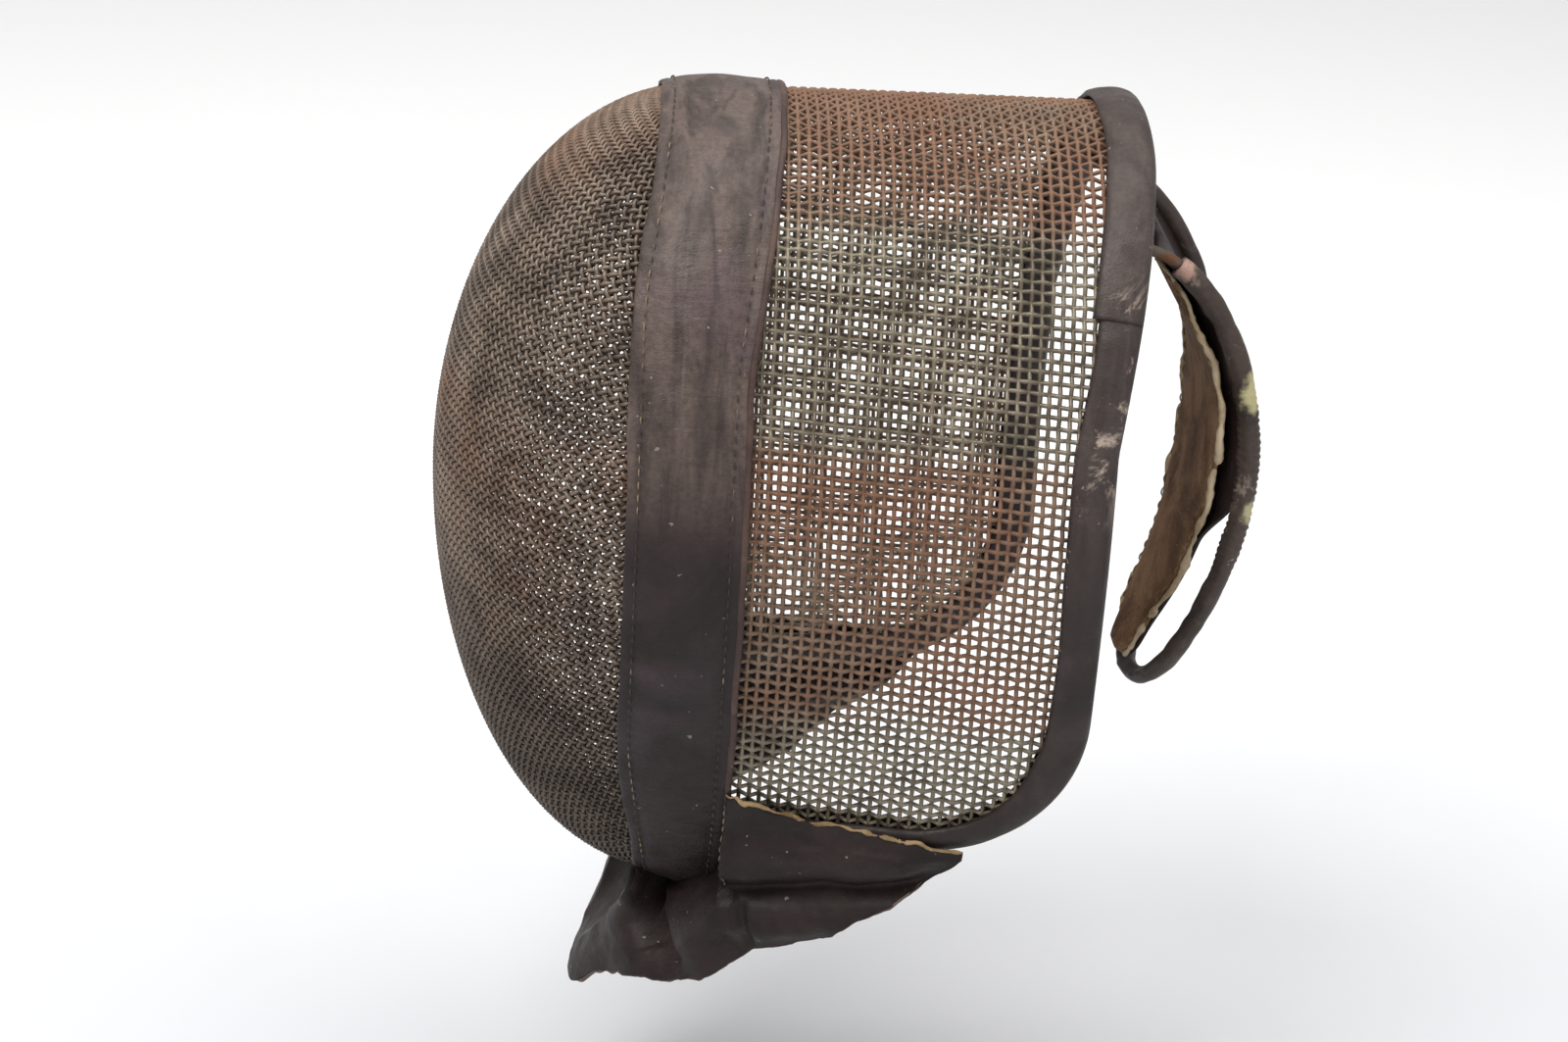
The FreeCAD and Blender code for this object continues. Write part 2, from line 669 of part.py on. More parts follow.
def make_tongue_pad():
    """Head pad of the tongue: a soft suede face and a dark leather back, tapering downwards."""
    plan = prism("tongue_pad_plan", outline("tongue_pad_front", "front", [
        ("Spec.pad_top_half", "Spec.pad_top_z", "Spec.pad_top_radius"),
        ("-Spec.pad_top_half", "Spec.pad_top_z", "Spec.pad_top_radius"),
        ("-Spec.pad_middle_half", "Spec.pad_middle_z", "Spec.pad_side_radius"),
        ("-Spec.pad_low_half", "Spec.pad_low_z", "Spec.pad_low_radius"),
        ("Spec.pad_low_half", "Spec.pad_low_z", "Spec.pad_low_radius"),
        ("Spec.pad_middle_half", "Spec.pad_middle_z", "Spec.pad_side_radius"),
    ]), 2 * WIDE)
    doc.recompute()
    layers = {
        "tongue_pad_face": (PLY_GAP / 2, size("pad_face_thickness")),
        "tongue_pad_back": (-PLY_GAP / 2, -size("pad_back_thickness")),
    }
    for label, (near, far) in layers.items():
        shaped(f"{label}_shape", pad_layer(near, far).common(plan.Shape), label)


def make_staples():
    """Two wire eyes under the crown of the rear rim that carry the tongue's pintles."""
    for side, name in ((1, "left"), (-1, "right")):
        eye = doc.addObject("Part::Torus", f"staple_eye_{name}")
        eye.setExpression("Radius1", "Spec.staple_ring_radius * 1 mm")
        eye.setExpression("Radius2", "Spec.staple_wire_radius * 1 mm")
        eye.Placement.Rotation = FreeCAD.Rotation(V(0, 1, 0), 90)
        shank = doc.addObject("Part::Cylinder", f"staple_shank_{name}")
        shank.setExpression("Radius", "Spec.staple_wire_radius * 1 mm")
        shank.setExpression("Height", "(Spec.staple_length - Spec.staple_ring_radius) * 1 mm")
        for piece, lift in ((eye, "0"), (shank, "Spec.staple_ring_radius")):
            piece.setExpression("Placement.Base.x", f"{side} * Spec.staple_x * 1 mm")
            piece.setExpression("Placement.Base.y", "Spec.hinge_y * 1 mm")
            piece.setExpression("Placement.Base.z", f"(Spec.hinge_z + {lift}) * 1 mm")
        staple = combine("Fuse", f"staple_{name}", eye, shank)
        named(staple, f"tongue_staple_{name}")


# ---------------------------------------------------------------- build and write

make_front_mesh()
make_side_mesh()
make_hoop_wire()
make_rear_rim_bar()
make_bands()
make_bindings()
make_bib()
make_face_pads()
make_tongue_wire()
make_tongue_cover()
make_tongue_pad()
make_staples()
doc.recompute()

for item in doc.Objects:
    if "Invalid" in item.State or "Error" in item.State:
        raise RuntimeError(f"{item.Name} failed: {item.State}")
for part in PARTS:
    shape = part.Shape
    if shape.isNull() or not shape.isValid() or not shape.Solids:
        raise RuntimeError(f"{part.Label} has no valid solid")

os.makedirs("parts", exist_ok=True)
for part in PARTS:
    box = part.Shape.BoundBox
    print(f"{part.Label:22s} solids {len(part.Shape.Solids)} volume {part.Shape.Volume:9.0f} "
          f"X {box.XMin:7.1f} {box.XMax:7.1f} Y {box.YMin:7.1f} {box.YMax:7.1f} "
          f"Z {box.ZMin:7.1f} {box.ZMax:7.1f}")
    part.Shape.exportStep(f"parts/{part.Label}.step")
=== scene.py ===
"""Looks of the fencing mask: woven meshes, leather trim, bib, pads and the sprung tongue.

Metres, in the CAD frame: +Z up, the face looks along -Y, +X is the wearer's left.
"""
import math

import bpy
import numpy as np
from mathutils import Matrix

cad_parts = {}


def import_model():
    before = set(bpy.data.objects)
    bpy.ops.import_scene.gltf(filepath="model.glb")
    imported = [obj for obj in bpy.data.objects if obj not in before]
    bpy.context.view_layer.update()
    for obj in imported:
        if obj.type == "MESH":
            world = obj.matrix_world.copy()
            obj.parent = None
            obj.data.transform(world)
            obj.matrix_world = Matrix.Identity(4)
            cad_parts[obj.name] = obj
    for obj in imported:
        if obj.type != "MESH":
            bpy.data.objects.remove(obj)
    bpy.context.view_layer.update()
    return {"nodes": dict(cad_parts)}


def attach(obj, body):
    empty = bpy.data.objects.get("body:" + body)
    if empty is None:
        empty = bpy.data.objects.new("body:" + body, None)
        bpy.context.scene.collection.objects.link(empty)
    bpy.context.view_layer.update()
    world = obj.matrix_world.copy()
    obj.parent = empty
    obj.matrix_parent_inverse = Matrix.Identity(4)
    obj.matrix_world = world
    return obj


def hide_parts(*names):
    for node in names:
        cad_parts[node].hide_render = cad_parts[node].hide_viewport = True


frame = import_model()
NODES = frame["nodes"]

# ---- the mask's surface

HOOP = {"half": .094, "widest": .005, "crown": .086, "top": .1285, "chin": .062, "bottom": -.153}
REAR = {"half": .096, "widest": -.010, "crown": .088, "top": .1285, "chin": .088, "bottom": -.208}
HOOP_Y, REAR_Y = -.078, .080
DOME_DEPTH, DOME_AXIS = .086, -.003
CHIN = 4.0  # the place round an egg runs from 0 at the crown to 4 at the chin, signed by side


def egg(shape, place):
    """x and z of an egg section made of tangent arcs."""
    half, crown, chin, widest = (shape[key] for key in ("half", "crown", "chin", "widest"))
    crown_z, chin_z = shape["top"] - crown, shape["bottom"] + chin

    def side_arc(end_z, end_radius):
        rise = abs(end_z - widest)
        radius = (half ** 2 + rise ** 2 - end_radius ** 2) / (2 * (half - end_radius))
        return radius, math.atan2(rise, radius - half)

    upper, up = side_arc(crown_z, crown)
    lower, down = side_arc(chin_z, chin)
    a = np.abs(place)
    arcs = ((crown, 0, crown_z, math.pi / 2 - (math.pi / 2 - up) * a),
            (upper, half - upper, widest, up * (2 - a)),
            (lower, half - lower, widest, -down * (a - 2)),
            (chin, 0, chin_z, -down - (math.pi / 2 - down) * (a - 3)))
    parts = [a <= 1, a <= 2, a <= 3, a > 3]
    x = np.select(parts, [centre + radius * np.cos(turn) for radius, centre, _, turn in arcs])
    z = np.select(parts, [centre + radius * np.sin(turn) for radius, _, centre, turn in arcs])
    return np.where(place < 0, -x, x), z


def skin(place, y):
    """Point on the middle of the wire mesh: barrel behind the hoop, dome ahead of it."""
    place, y = np.broadcast_arrays(np.asarray(place, float), np.asarray(y, float))
    hoop_x, hoop_z = egg(HOOP, place)
    rear_x, rear_z = egg(REAR, place)
    back = np.maximum((y - HOOP_Y) / (REAR_Y - HOOP_Y), 0)
    shrink = np.sqrt(1 - np.clip((HOOP_Y - y) / DOME_DEPTH, 0, 1) ** 2)
    x = (hoop_x + (rear_x - hoop_x) * back) * shrink
    z = DOME_AXIS + (hoop_z + (rear_z - hoop_z) * back - DOME_AXIS) * shrink
    return np.stack([x, y, z], axis=-1)


def unit(vectors):
    return vectors / np.maximum(np.linalg.norm(vectors, axis=-1, keepdims=True), 1e-12)


def skin_normal(place, y):
    """Outward normal of the skin."""
    step, slide = .004, .0005
    low, high = np.clip(place - step, -CHIN, CHIN), np.clip(place + step, -CHIN, CHIN)
    along = skin(place, y + slide) - skin(place, y - slide)
    return unit(np.cross(skin(high, y) - skin(low, y), along))


def raised(place, y, height):
    """Point at a height above the skin."""
    return skin(place, y) + skin_normal(place, y) * np.asarray(height)[..., None]


# ---- lines of points

def lengths(line):
    """Distance of each point along its line."""
    return np.concatenate([[0], np.cumsum(np.linalg.norm(np.diff(line, axis=0), axis=1))])


def looked_up(at, along, rows):
    """Rows of a table at places along it."""
    return np.stack([np.interp(at, along, column) for column in rows.T], axis=1)


def evenly(line, step):
    """The line again with points about a step apart."""
    along = lengths(line)
    count = max(3, int(round(along[-1] / step)) + 1)
    return looked_up(np.linspace(0, along[-1], count), along, line)


def places_by_length(y, spacing=None, count=None):
    """Places round the whole egg at y, evenly spaced by length, from chin to chin."""
    fine = np.linspace(-CHIN, CHIN, 8001)
    along = lengths(skin(fine, y))
    along -= along[-1] / 2
    if spacing:
        half_count = int(along[-1] / spacing)
        wanted = (np.arange(-half_count, half_count) + .5) * spacing
    else:
        wanted = np.linspace(along[0], along[-1], count + 1)[:-1]
    return np.interp(wanted, along, fine)


def curved(padded, samples):
    """Catmull-Rom points between the inner points of a list padded by one at each end."""
    t = (np.arange(samples) / samples)[None, :, None]
    spans = len(padded) - 3
    p0, p1, p2, p3 = (padded[k:spans + k][:, None, :] for k in range(4))
    line = .5 * (2 * p1 + (p2 - p0) * t + (2 * p0 - 5 * p1 + 4 * p2 - p3) * t ** 2
                 + (3 * p1 - p0 - 3 * p2 + p3) * t ** 3)
    return line.reshape(-1, line.shape[-1])


def closed_curve(points, count):
    """Closed smooth curve through points, evenly resampled."""
    points = np.asarray(points, float)
    line = curved(np.concatenate([points[-1:], points, points[:2]]), 12)
    line = np.concatenate([line, line[:1]])
    along = lengths(line)
    return looked_up(np.linspace(0, along[-1], count + 1)[:-1], along, line)


def rounded(corners, radii=None, step=.001):
    """Straight runs joined by tangent arcs of the given radii, or as large as will fit."""
    corners = np.array(corners, float)
    points = [corners[0]]
    for k in range(1, len(corners) - 1):
        at = corners[k]
        back, ahead = corners[k - 1] - at, corners[k + 1] - at
        room = .45 * min(np.linalg.norm(back), np.linalg.norm(ahead))
        back, ahead = unit(back), unit(ahead)
        half = math.acos(np.clip(back @ ahead, -1, 1)) / 2
        trim = radii[k - 1] / math.tan(half) if radii else room
        radius = trim * math.tan(half)
        centre = at + unit(back + ahead) * math.hypot(radius, trim)
        start, end = at + back * trim - centre, at + ahead * trim - centre
        turn = math.pi - 2 * half
        for t in np.linspace(0, 1, max(4, int(radius * turn / step))):
            points.append(centre + (start * math.sin((1 - t) * turn)
                                    + end * math.sin(t * turn)) / math.sin(turn))
    points.append(corners[-1])
    return evenly(np.array(points), step)


# ---- soft random numbers

def lattice(ix, iy, iz, seed):
    """A repeatable number from -1 to 1 for each whole-numbered place."""
    n = (ix * 73856093) ^ (iy * 19349663) ^ (iz * 83492791) ^ (seed * 2654435761)
    n = (n ^ (n >> 13)) * 1274126177
    n = (n ^ (n >> 16)) & 0xFFFFFF
    return n / 0x7FFFFF - 1.0


def noise(points, size, seed=1):
    """Smooth noise from about -1 to 1 whose lumps are `size` metres across."""
    p = np.asarray(points, float) / np.asarray(size, float)
    base = np.floor(p).astype(np.int64)
    f = p - base
    f = f * f * (3 - 2 * f)
    total = 0
    for corner in np.ndindex(2, 2, 2):
        near = np.where(corner, f, 1 - f)
        weight = near[..., 0] * near[..., 1] * near[..., 2]
        total = total + weight * lattice(*np.moveaxis(base + corner, -1, 0), seed)
    return total


def wave(along, size, seed=1):
    """Smooth noise along one length."""
    return noise(np.asarray(along, float)[..., None] * np.array([1, 0, 0]), size, seed)


def bump_at(x, centre, width):
    """A smooth bump of height 1."""
    return np.exp(-((x - centre) / width) ** 2)


def ramp(x, low, high):
    """A smooth step from 0 at low to 1 at high."""
    t = np.clip((x - low) / (high - low), 0, 1)
    return t * t * (3 - 2 * t)


# ---- meshes

def enclosed(points, faces):
    """Six times the volume inside the faces; negative when they face inwards."""
    total = 0.0
    for block in faces:
        for k in range(1, block.shape[1] - 1):
            a, b, c = (points[block[:, i]].astype(float) for i in (0, k, k + 1))
            total += np.sum(a * np.cross(b, c))
    return total


def mesh_object(name, points, faces):
    """A smooth object from points and lists of equal-sided faces."""
    mesh = bpy.data.meshes.new(name)
    points = np.asarray(points, np.float32).reshape(-1, 3)
    mesh.vertices.add(len(points))
    mesh.vertices.foreach_set("co", points.ravel())
    faces = [np.asarray(f, np.int32) for f in faces if len(f)]
    if enclosed(points, faces) < 0:
        faces = [f[:, ::-1] for f in faces]
    totals = np.concatenate([np.full(len(f), f.shape[1]) for f in faces]).astype(np.int32)
    corners = np.concatenate([f.ravel() for f in faces]).astype(np.int32)
    starts = np.concatenate([[0], np.cumsum(totals)[:-1]]).astype(np.int32)
    mesh.loops.add(len(corners))
    mesh.loops.foreach_set("vertex_index", corners)
    mesh.polygons.add(len(totals))
    mesh.polygons.foreach_set("loop_start", starts)
    mesh.polygons.foreach_set("loop_total", totals)
    mesh.update(calc_edges=True)
    mesh.validate()
    mesh.polygons.foreach_set("use_smooth", np.full(len(mesh.polygons), True))
    made = bpy.data.objects.new(name, mesh)
    bpy.context.scene.collection.objects.link(made)
    return made


def grid_faces(rows, columns, wrap_rows=False, wrap_columns=False, start=0):
    """Quads of a grid of points."""
    r = np.arange(rows if wrap_rows else rows - 1)
    c = np.arange(columns if wrap_columns else columns - 1)
    r, c = (grid.ravel() for grid in np.meshgrid(r, c, indexing="ij"))
    r2, c2 = (r + 1) % rows, (c + 1) % columns
    return start + np.stack([r * columns + c, r2 * columns + c, r2 * columns + c2,
                             r * columns + c2], axis=1)


def closed_sheet(name, outer, inner):
    """A solid between two grids of points, joined round their borders."""
    rows, columns = outer.shape[:2]
    n = rows * columns
    faces = [grid_faces(rows, columns), grid_faces(rows, columns, start=n)[:, ::-1]]
    r, c = np.arange(rows - 1), np.arange(columns - 1)
    borders = ((r * columns, (r + 1) * columns),
               ((r + 2) * columns - 1, (r + 1) * columns - 1),
               (c + 1, c), ((rows - 1) * columns + c, (rows - 1) * columns + c + 1))
    faces += [np.stack([a, a + n, b + n, b], axis=1) for a, b in borders]
    points = np.concatenate([outer.reshape(-1, 3), inner.reshape(-1, 3)])
    return mesh_object(name, points, [np.concatenate(faces)])


def sweep(name, sections, closed=False):
    """Closed sections joined along a path: sections is rows x points x 3."""
    rows, columns = sections.shape[:2]
    faces = [grid_faces(rows, columns, wrap_rows=closed, wrap_columns=True)]
    if not closed:
        end = np.arange(columns)[None, :]
        faces += [end, (rows - 1) * columns + end[:, ::-1]]
    return mesh_object(name, sections, faces)


def heading(line):
    """Direction of a line at each of its points."""
    return unit(np.gradient(line, axis=0))


def frames(line, normal):
    """Unit normal and side vectors along a line of points."""
    side = unit(np.cross(heading(line), normal))
    return unit(np.cross(side, heading(line))), side


def circle(count):
    """Angles evenly round a circle."""
    return np.arange(count) * 2 * math.pi / count


def around(line, up, side, radius, turn):
    """Points round a line, at each angle of `turn`; radius has a row for each point."""
    return line[:, None, :] + radius[..., None] * (
        np.cos(turn)[None, :, None] * up[:, None, :] + np.sin(turn)[None, :, None] * side[:, None, :])


def tube_rings(line, normal, radius, sides):
    """Rings of points round a line."""
    radius = np.broadcast_to(np.asarray(radius, float), (len(line),))[:, None]
    return around(line, *frames(line, normal), radius, circle(sides))


def tubes(name, wires, radius, sides=5):
    """Many round wires in one mesh; each wire is a line and its normals."""
    points, quads, caps, start = [], [], [], 0
    for line, normal in wires:
        points.append(tube_rings(line, normal, radius, sides).reshape(-1, 3))
        quads.append(grid_faces(len(line), sides, wrap_columns=True, start=start))
        caps.append(start + np.arange(sides)[::-1][None, :])
        caps.append(start + (len(line) - 1) * sides + np.arange(sides)[None, :])
        start += len(line) * sides
    return mesh_object(name, np.concatenate(points),
                       [np.concatenate(quads), np.concatenate(caps)])


# ---- shader helper

class Shader:
    """A Principled material built node by node."""

    def __init__(self, name, roughness=.5, metallic=0.0, shine=.5):
        self.material = bpy.data.materials.new(name)
        self.material.use_nodes = True
        self.tree = self.material.node_tree
        self.bsdf = self.tree.nodes["Principled BSDF"]
        self.bsdf.inputs["Roughness"].default_value = roughness
        self.bsdf.inputs["Metallic"].default_value = metallic
        self.bsdf.inputs["Specular IOR Level"].default_value = shine
        self.place = self.tree.nodes.new("ShaderNodeTexCoord").outputs["Object"]

    def add(self, kind, inputs, output=0, **settings):
        """Output of a new node whose inputs are values or other outputs."""
        node = self.tree.nodes.new(kind)
        for key, value in settings.items():
            setattr(node, key, value)
        for key, value in inputs.items():
            if isinstance(value, bpy.types.NodeSocket):
                self.tree.links.new(value, node.inputs[key])
            else:
                node.inputs[key].default_value = value
        return node.outputs[output]

    def noise(self, scale, detail, roughness, stretch=None, distortion=0.0):
        where = self.place
        if stretch:
            where = self.add("ShaderNodeMapping", {"Vector": where, "Scale": stretch})
        return self.add("ShaderNodeTexNoise", {
            "Vector": where, "Scale": scale, "Detail": detail, "Roughness": roughness,
            "Distortion": distortion})

    def cells(self, scale):
        return self.add("ShaderNodeTexVoronoi", {"Vector": self.place, "Scale": scale},
                        "Distance", feature="DISTANCE_TO_EDGE")

    def spread(self, value, low, high, to_low=0.0, to_high=1.0):
        return self.add("ShaderNodeMapRange", {
            "Value": value, "From Min": low, "From Max": high, "To Min": to_low,
            "To Max": to_high}, interpolation_type="SMOOTHSTEP")

    def maths(self, kind, first, second):
        return self.add("ShaderNodeMath", {0: first, 1: second}, operation=kind)

    def times(self, first, second):
        return self.maths("MULTIPLY", first, second)

    def axis(self, name):
        return self.add("ShaderNodeSeparateXYZ", {0: self.place}, name)

    def mix(self, share, *colours):
        first, second = ((*c, 1) if isinstance(c, tuple) else c for c in colours)
        return self.add("ShaderNodeMix", {0: share, 6: first, 7: second}, 2, data_type="RGBA")

    def near(self, point, radius, stretch):
        """1 close to a point, fading to 0 at a ragged radius."""
        off = self.add("ShaderNodeVectorMath", {0: self.place, 1: point}, operation="SUBTRACT")
        off = self.add("ShaderNodeVectorMath", {0: off, 1: stretch}, operation="MULTIPLY")
        far = self.add("ShaderNodeVectorMath", {0: off}, "Value", operation="LENGTH")
        ragged = self.times(self.noise(260, 4, .65), radius * 1.1)
        return self.spread(self.maths("ADD", far, ragged), radius * .95, radius * 1.5, 1, 0)

    def finished(self, colour, layers=(), roughness=None):
        """The material, with bump layers stacked as (height, strength, distance)."""
        self.tree.links.new(colour, self.bsdf.inputs["Base Color"])
        if roughness:
            self.tree.links.new(roughness, self.bsdf.inputs["Roughness"])
        below = {}
        for height, strength, distance in layers:
            below = {"Normal": self.add("ShaderNodeBump", {
                "Height": height, "Strength": strength, "Distance": distance, **below})}
        if below:
            self.tree.links.new(below["Normal"], self.bsdf.inputs["Normal"])
        return self.material


# ---- materials

DIRT_AND_SHADE, SPECK, SCUFF_AND_HIGHLIGHT, VIOLET = (.026, .017, .013), (.36, .30, .26), (.36, .285, .235), (.085, .055, .075)


def wire_material(name, rust_share, base, pale, soil_and_shade=0.0):
    """Old drawn iron wire: olive grey, rusting in patches, darker at the bottom: dirt and painted
    shade.
    """
    s = Shader(name, metallic=.3)
    body = s.mix(s.spread(s.noise(55, 5, .6), .35, .65), base, pale)
    body = s.mix(s.spread(s.noise(420, 3, .6), .5, .75, 0, .6), body, (.060, .044, .032))
    height = s.axis("Z")
    crown = s.spread(height, .088, .112)
    middle = s.times(s.spread(height, .048, .03), s.spread(height, -.075, -.05))
    zone = s.maths("MAXIMUM", crown, s.times(middle, .85))
    patch = s.maths("SUBTRACT", s.noise(16, 3, .5), .5)
    rust = s.maths("ADD", s.times(zone, rust_share), patch)
    rust = s.spread(s.maths("ADD", rust, s.times(s.noise(190, 4, .6), .3)), .25, .85)
    rusty = s.mix(s.noise(130, 3, .6), (.13, .058, .032), (.265, .138, .086))
    body = s.mix(s.times(rust, .9), body, rusty)
    # Darker towards the bottom: partly dirt, partly painted shade.
    body = s.mix(s.spread(height, .015, -.090, 0, soil_and_shade), body, DIRT_AND_SHADE)
    return s.finished(body, [(s.noise(900, 3, .6), .35, .0004)], s.spread(rust, 0, 1, .45, .75))


def leather_material(name, dark, light, bloom_and_sheen, creases=0.0, wear_and_highlight=0.0, roughness=(.42, .62),
                     bloom_and_sheen_heights=None, wear_and_highlight_heights=(), shine=.35, patches=()):
    """Aged dark leather with grain, fine creases, a pale bloom and scuffs, with painted sheen and
    highlights mixed in.

    The bloom and the scuffs fade in between the heights given for them; so faded, the bloom is
    partly a painted sheen on the upper leather and the scuffs are partly painted highlights. Each
    patch is a point, a radius, a stretch and a colour.
    """
    s = Shader(name, shine=shine)
    height = s.axis("Z")
    body = s.mix(s.spread(s.noise(28, 4, .6, distortion=.4), .38, .68), dark, light)
    cloud = s.noise(75, 5, .65)
    if bloom_and_sheen_heights:
        # Bloom faded in by height: partly dusty bloom, partly a painted sheen where the light from
        # above falls.
        bloom_and_sheen_streaks = s.noise(42, 5, .6, stretch=(1, 2.6, .35), distortion=.7)
        share = s.times(s.spread(height, *bloom_and_sheen_heights), s.spread(bloom_and_sheen_streaks, .32, .62, .25, .95))
        body = s.mix(share, body, bloom_and_sheen)
        stain = s.spread(s.noise(21, 2, .5, distortion=.5), .55, .72, 0, .35)
        body = s.mix(stain, body, VIOLET)
    else:
        body = s.mix(s.spread(cloud, .52, .8, 0, .55), body, bloom_and_sheen)
    fine = s.noise(520, 4, .65)
    body = s.mix(s.spread(fine, .35, .7, .0, .35), body, dark)
    if wear_and_highlight:
        # Pale scuffs, held between heights: partly wear, partly painted highlights.
        rub_and_highlight = s.spread(s.noise(48, 6, .75, distortion=.8), .54, .66, 0, wear_and_highlight)
        for fade in wear_and_highlight_heights:
            rub_and_highlight = s.times(rub_and_highlight, s.spread(height, *fade))
        body = s.mix(rub_and_highlight, body, SCUFF_AND_HIGHLIGHT)
    for point, radius, stretch, tint in patches:
        body = s.mix(s.times(s.near(point, radius, stretch), .85), body, tint)
    body = s.mix(s.spread(s.noise(330, 2, .5), .735, .76, 0, .5), body, SPECK)
    folds = s.noise(150, 5, .7, stretch=(1, .22, 1), distortion=.6)
    layers = [(s.noise(60, 3, .5), .25, .004), (folds, .25 + creases, .0012),
              (s.spread(s.cells(900), 0, .35), .18, .0003), (fine, .3, .0003)]
    return s.finished(body, layers, s.spread(cloud, .3, .7, *roughness))


def suede_material(name, dark, light, raw):
    """Napped suede, darker where it was touched, with pale fibres."""
    s = Shader(name, roughness=.92, shine=.15)
    body = s.mix(s.spread(s.noise(38, 5, .65, distortion=.5), .35, .66), dark, light)
    fibre = s.noise(800, 4, .7)
    body = s.mix(s.spread(fibre, .52, .75, 0, .55), body, raw)
    return s.finished(body, [(s.noise(70, 4, .6), .4, .003), (fibre, .5, .0005)])


def thread_material(name, dark, pale):
    s = Shader(name, roughness=.7)
    body = s.mix(s.spread(s.noise(45, 3, .6), .5, .62), dark, pale)
    return s.finished(body, [(s.noise(1500, 2, .5), .5, .0002)])


def steel_material(name, bright, rusty):
    s = Shader(name, metallic=.8)
    tone = s.noise(90, 5, .65)
    body = s.mix(s.spread(tone, .4, .65), bright, rusty)
    return s.finished(body, [(s.noise(700, 4, .6), .4, .0003)], s.spread(tone, .35, .7, .35, .75))


# The band's paler upper part is partly dusty bloom and partly a painted sheen from the light above.
BAND_LEATHER = leather_material(
    "band_leather", (.0125, .0075, .0072), (.028, .017, .0165), (.112, .081, .069), creases=.35,
    bloom_and_sheen_heights=(.000, .036), shine=.28,
    patches=[((.030, -.070, .123), .009, (1, 1.3, 1), (.030, .022, .020))])
# The binding's paler upper part and its scuffs are partly bloom and wear, partly painted sheen and
# highlights.
BINDING_LEATHER = leather_material(
    "binding_leather", (.018, .012, .011), (.036, .025, .0225), (.062, .046, .041), wear_and_highlight=.95,
    wear_and_highlight_heights=[(.012, .040), (.100, .080)], bloom_and_sheen_heights=(-.045, .06), shine=.3)
EDGE_LEATHER = leather_material(
    "edge_leather", (.032, .017, .014), (.085, .048, .038), (.15, .10, .08), roughness=(.5, .7))
BIB_LEATHER = leather_material(
    "bib_leather", (.012, .0075, .0070), (.027, .0168, .0158), (.040, .028, .027),
    roughness=(.42, .6), shine=.2)
PAD_LEATHER = leather_material(
    "face_pad_leather", (.028, .018, .013), (.068, .042, .028), (.10, .072, .055),
    roughness=(.5, .7))
SLEEVE_LEATHER = leather_material(
    "sleeve_leather", (.026, .017, .014), (.062, .043, .034), (.12, .095, .075), wear_and_highlight=.5,
    wear_and_highlight_heights=[(-.060, .010)],
    patches=[((.049, .109, .049), .0065, (1, 1, .6), (.50, .45, .24)),
             ((.046, .113, .004), .0045, (1, 1, .7), (.47, .43, .25)),
             ((.050, .081, .090), .0050, (1, 1, 1), (.42, .26, .21))])
LINING = suede_material("lining_suede", (.060, .036, .022), (.115, .075, .048), (.16, .12, .09))
SUEDE = suede_material("tongue_suede", (.100, .053, .029), (.29, .168, .094), (.44, .31, .19))
PALE_EDGE = suede_material("pale_raw_edge", (.30, .22, .13), (.58, .47, .32), (.68, .60, .46))
RAW_EDGE_LEATHER = suede_material(
    "raw_leather_edge", (.13, .080, .036), (.34, .24, .13), (.52, .42, .28))
HEM_EDGE = suede_material("hem_edge", (.050, .036, .030), (.15, .115, .095), (.24, .19, .16))
WIRE_SIDE = wire_material("side_wire", .55, (.105, .084, .058), (.225, .19, .138))
# The front wire's darkening towards the bottom is partly painted shade.
WIRE_FRONT = wire_material("front_wire", .25, (.088, .064, .048), (.195, .148, .112), soil_and_shade=.55)
THREAD = thread_material("waxed_thread", (.026, .018, .016), (.20, .14, .085))
STEEL = steel_material("old_steel", (.10, .085, .072), (.16, .07, .035))


def dress(piece, material):
    piece.data.materials.clear()
    piece.data.materials.append(material)


def outfit(piece, material, slot, body, *nodes):
    """A piece's material, its slot, which is not used, the body it rides on and the CAD nodes it
    stands for.
    """
    dress(piece, material)
    if nodes:
        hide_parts(*nodes)
    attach(piece, body)
    return piece


# ---- edges in side view

RIM_SIDE = rounded([(.0685, .160), (.0685, .122), (.0566, .040), (.0548, -.108),
                    (-.090, -.108)], (.040, .040, .056))
BAND_FRONT = rounded([(-.087, .150), (-.098, .082), (-.098, -.075), (-.087, -.165)], (.12, .12))
BAND_REAR = rounded([(-.048, .150), (-.060, .062), (-.060, -.175)], (.12,))


def edge_y(line, z):
    """y of a side-view edge at a height."""
    return np.interp(-np.asarray(z), -line[:, 1], line[:, 0])


def inside_rim(points):
    """Whether points on the barrel are inside the rim's outline."""
    rear = RIM_SIDE[RIM_SIDE[:, 0] > -.01]
    y, z = points[..., 1], points[..., 2]
    return (z > -.1065) & (y < edge_y(rear, z) - .001)


# ---- woven meshes

LIFT = .95  # how far a wire bends over its neighbours, as a share of its radius


def wire_pieces(name, groups, radius, material, node):
    """One piece for each group of wires."""
    for group, wires in groups.items():
        outfit(tubes(f"{name}_{group}", wires, radius), material, "mesh", "mask", node)


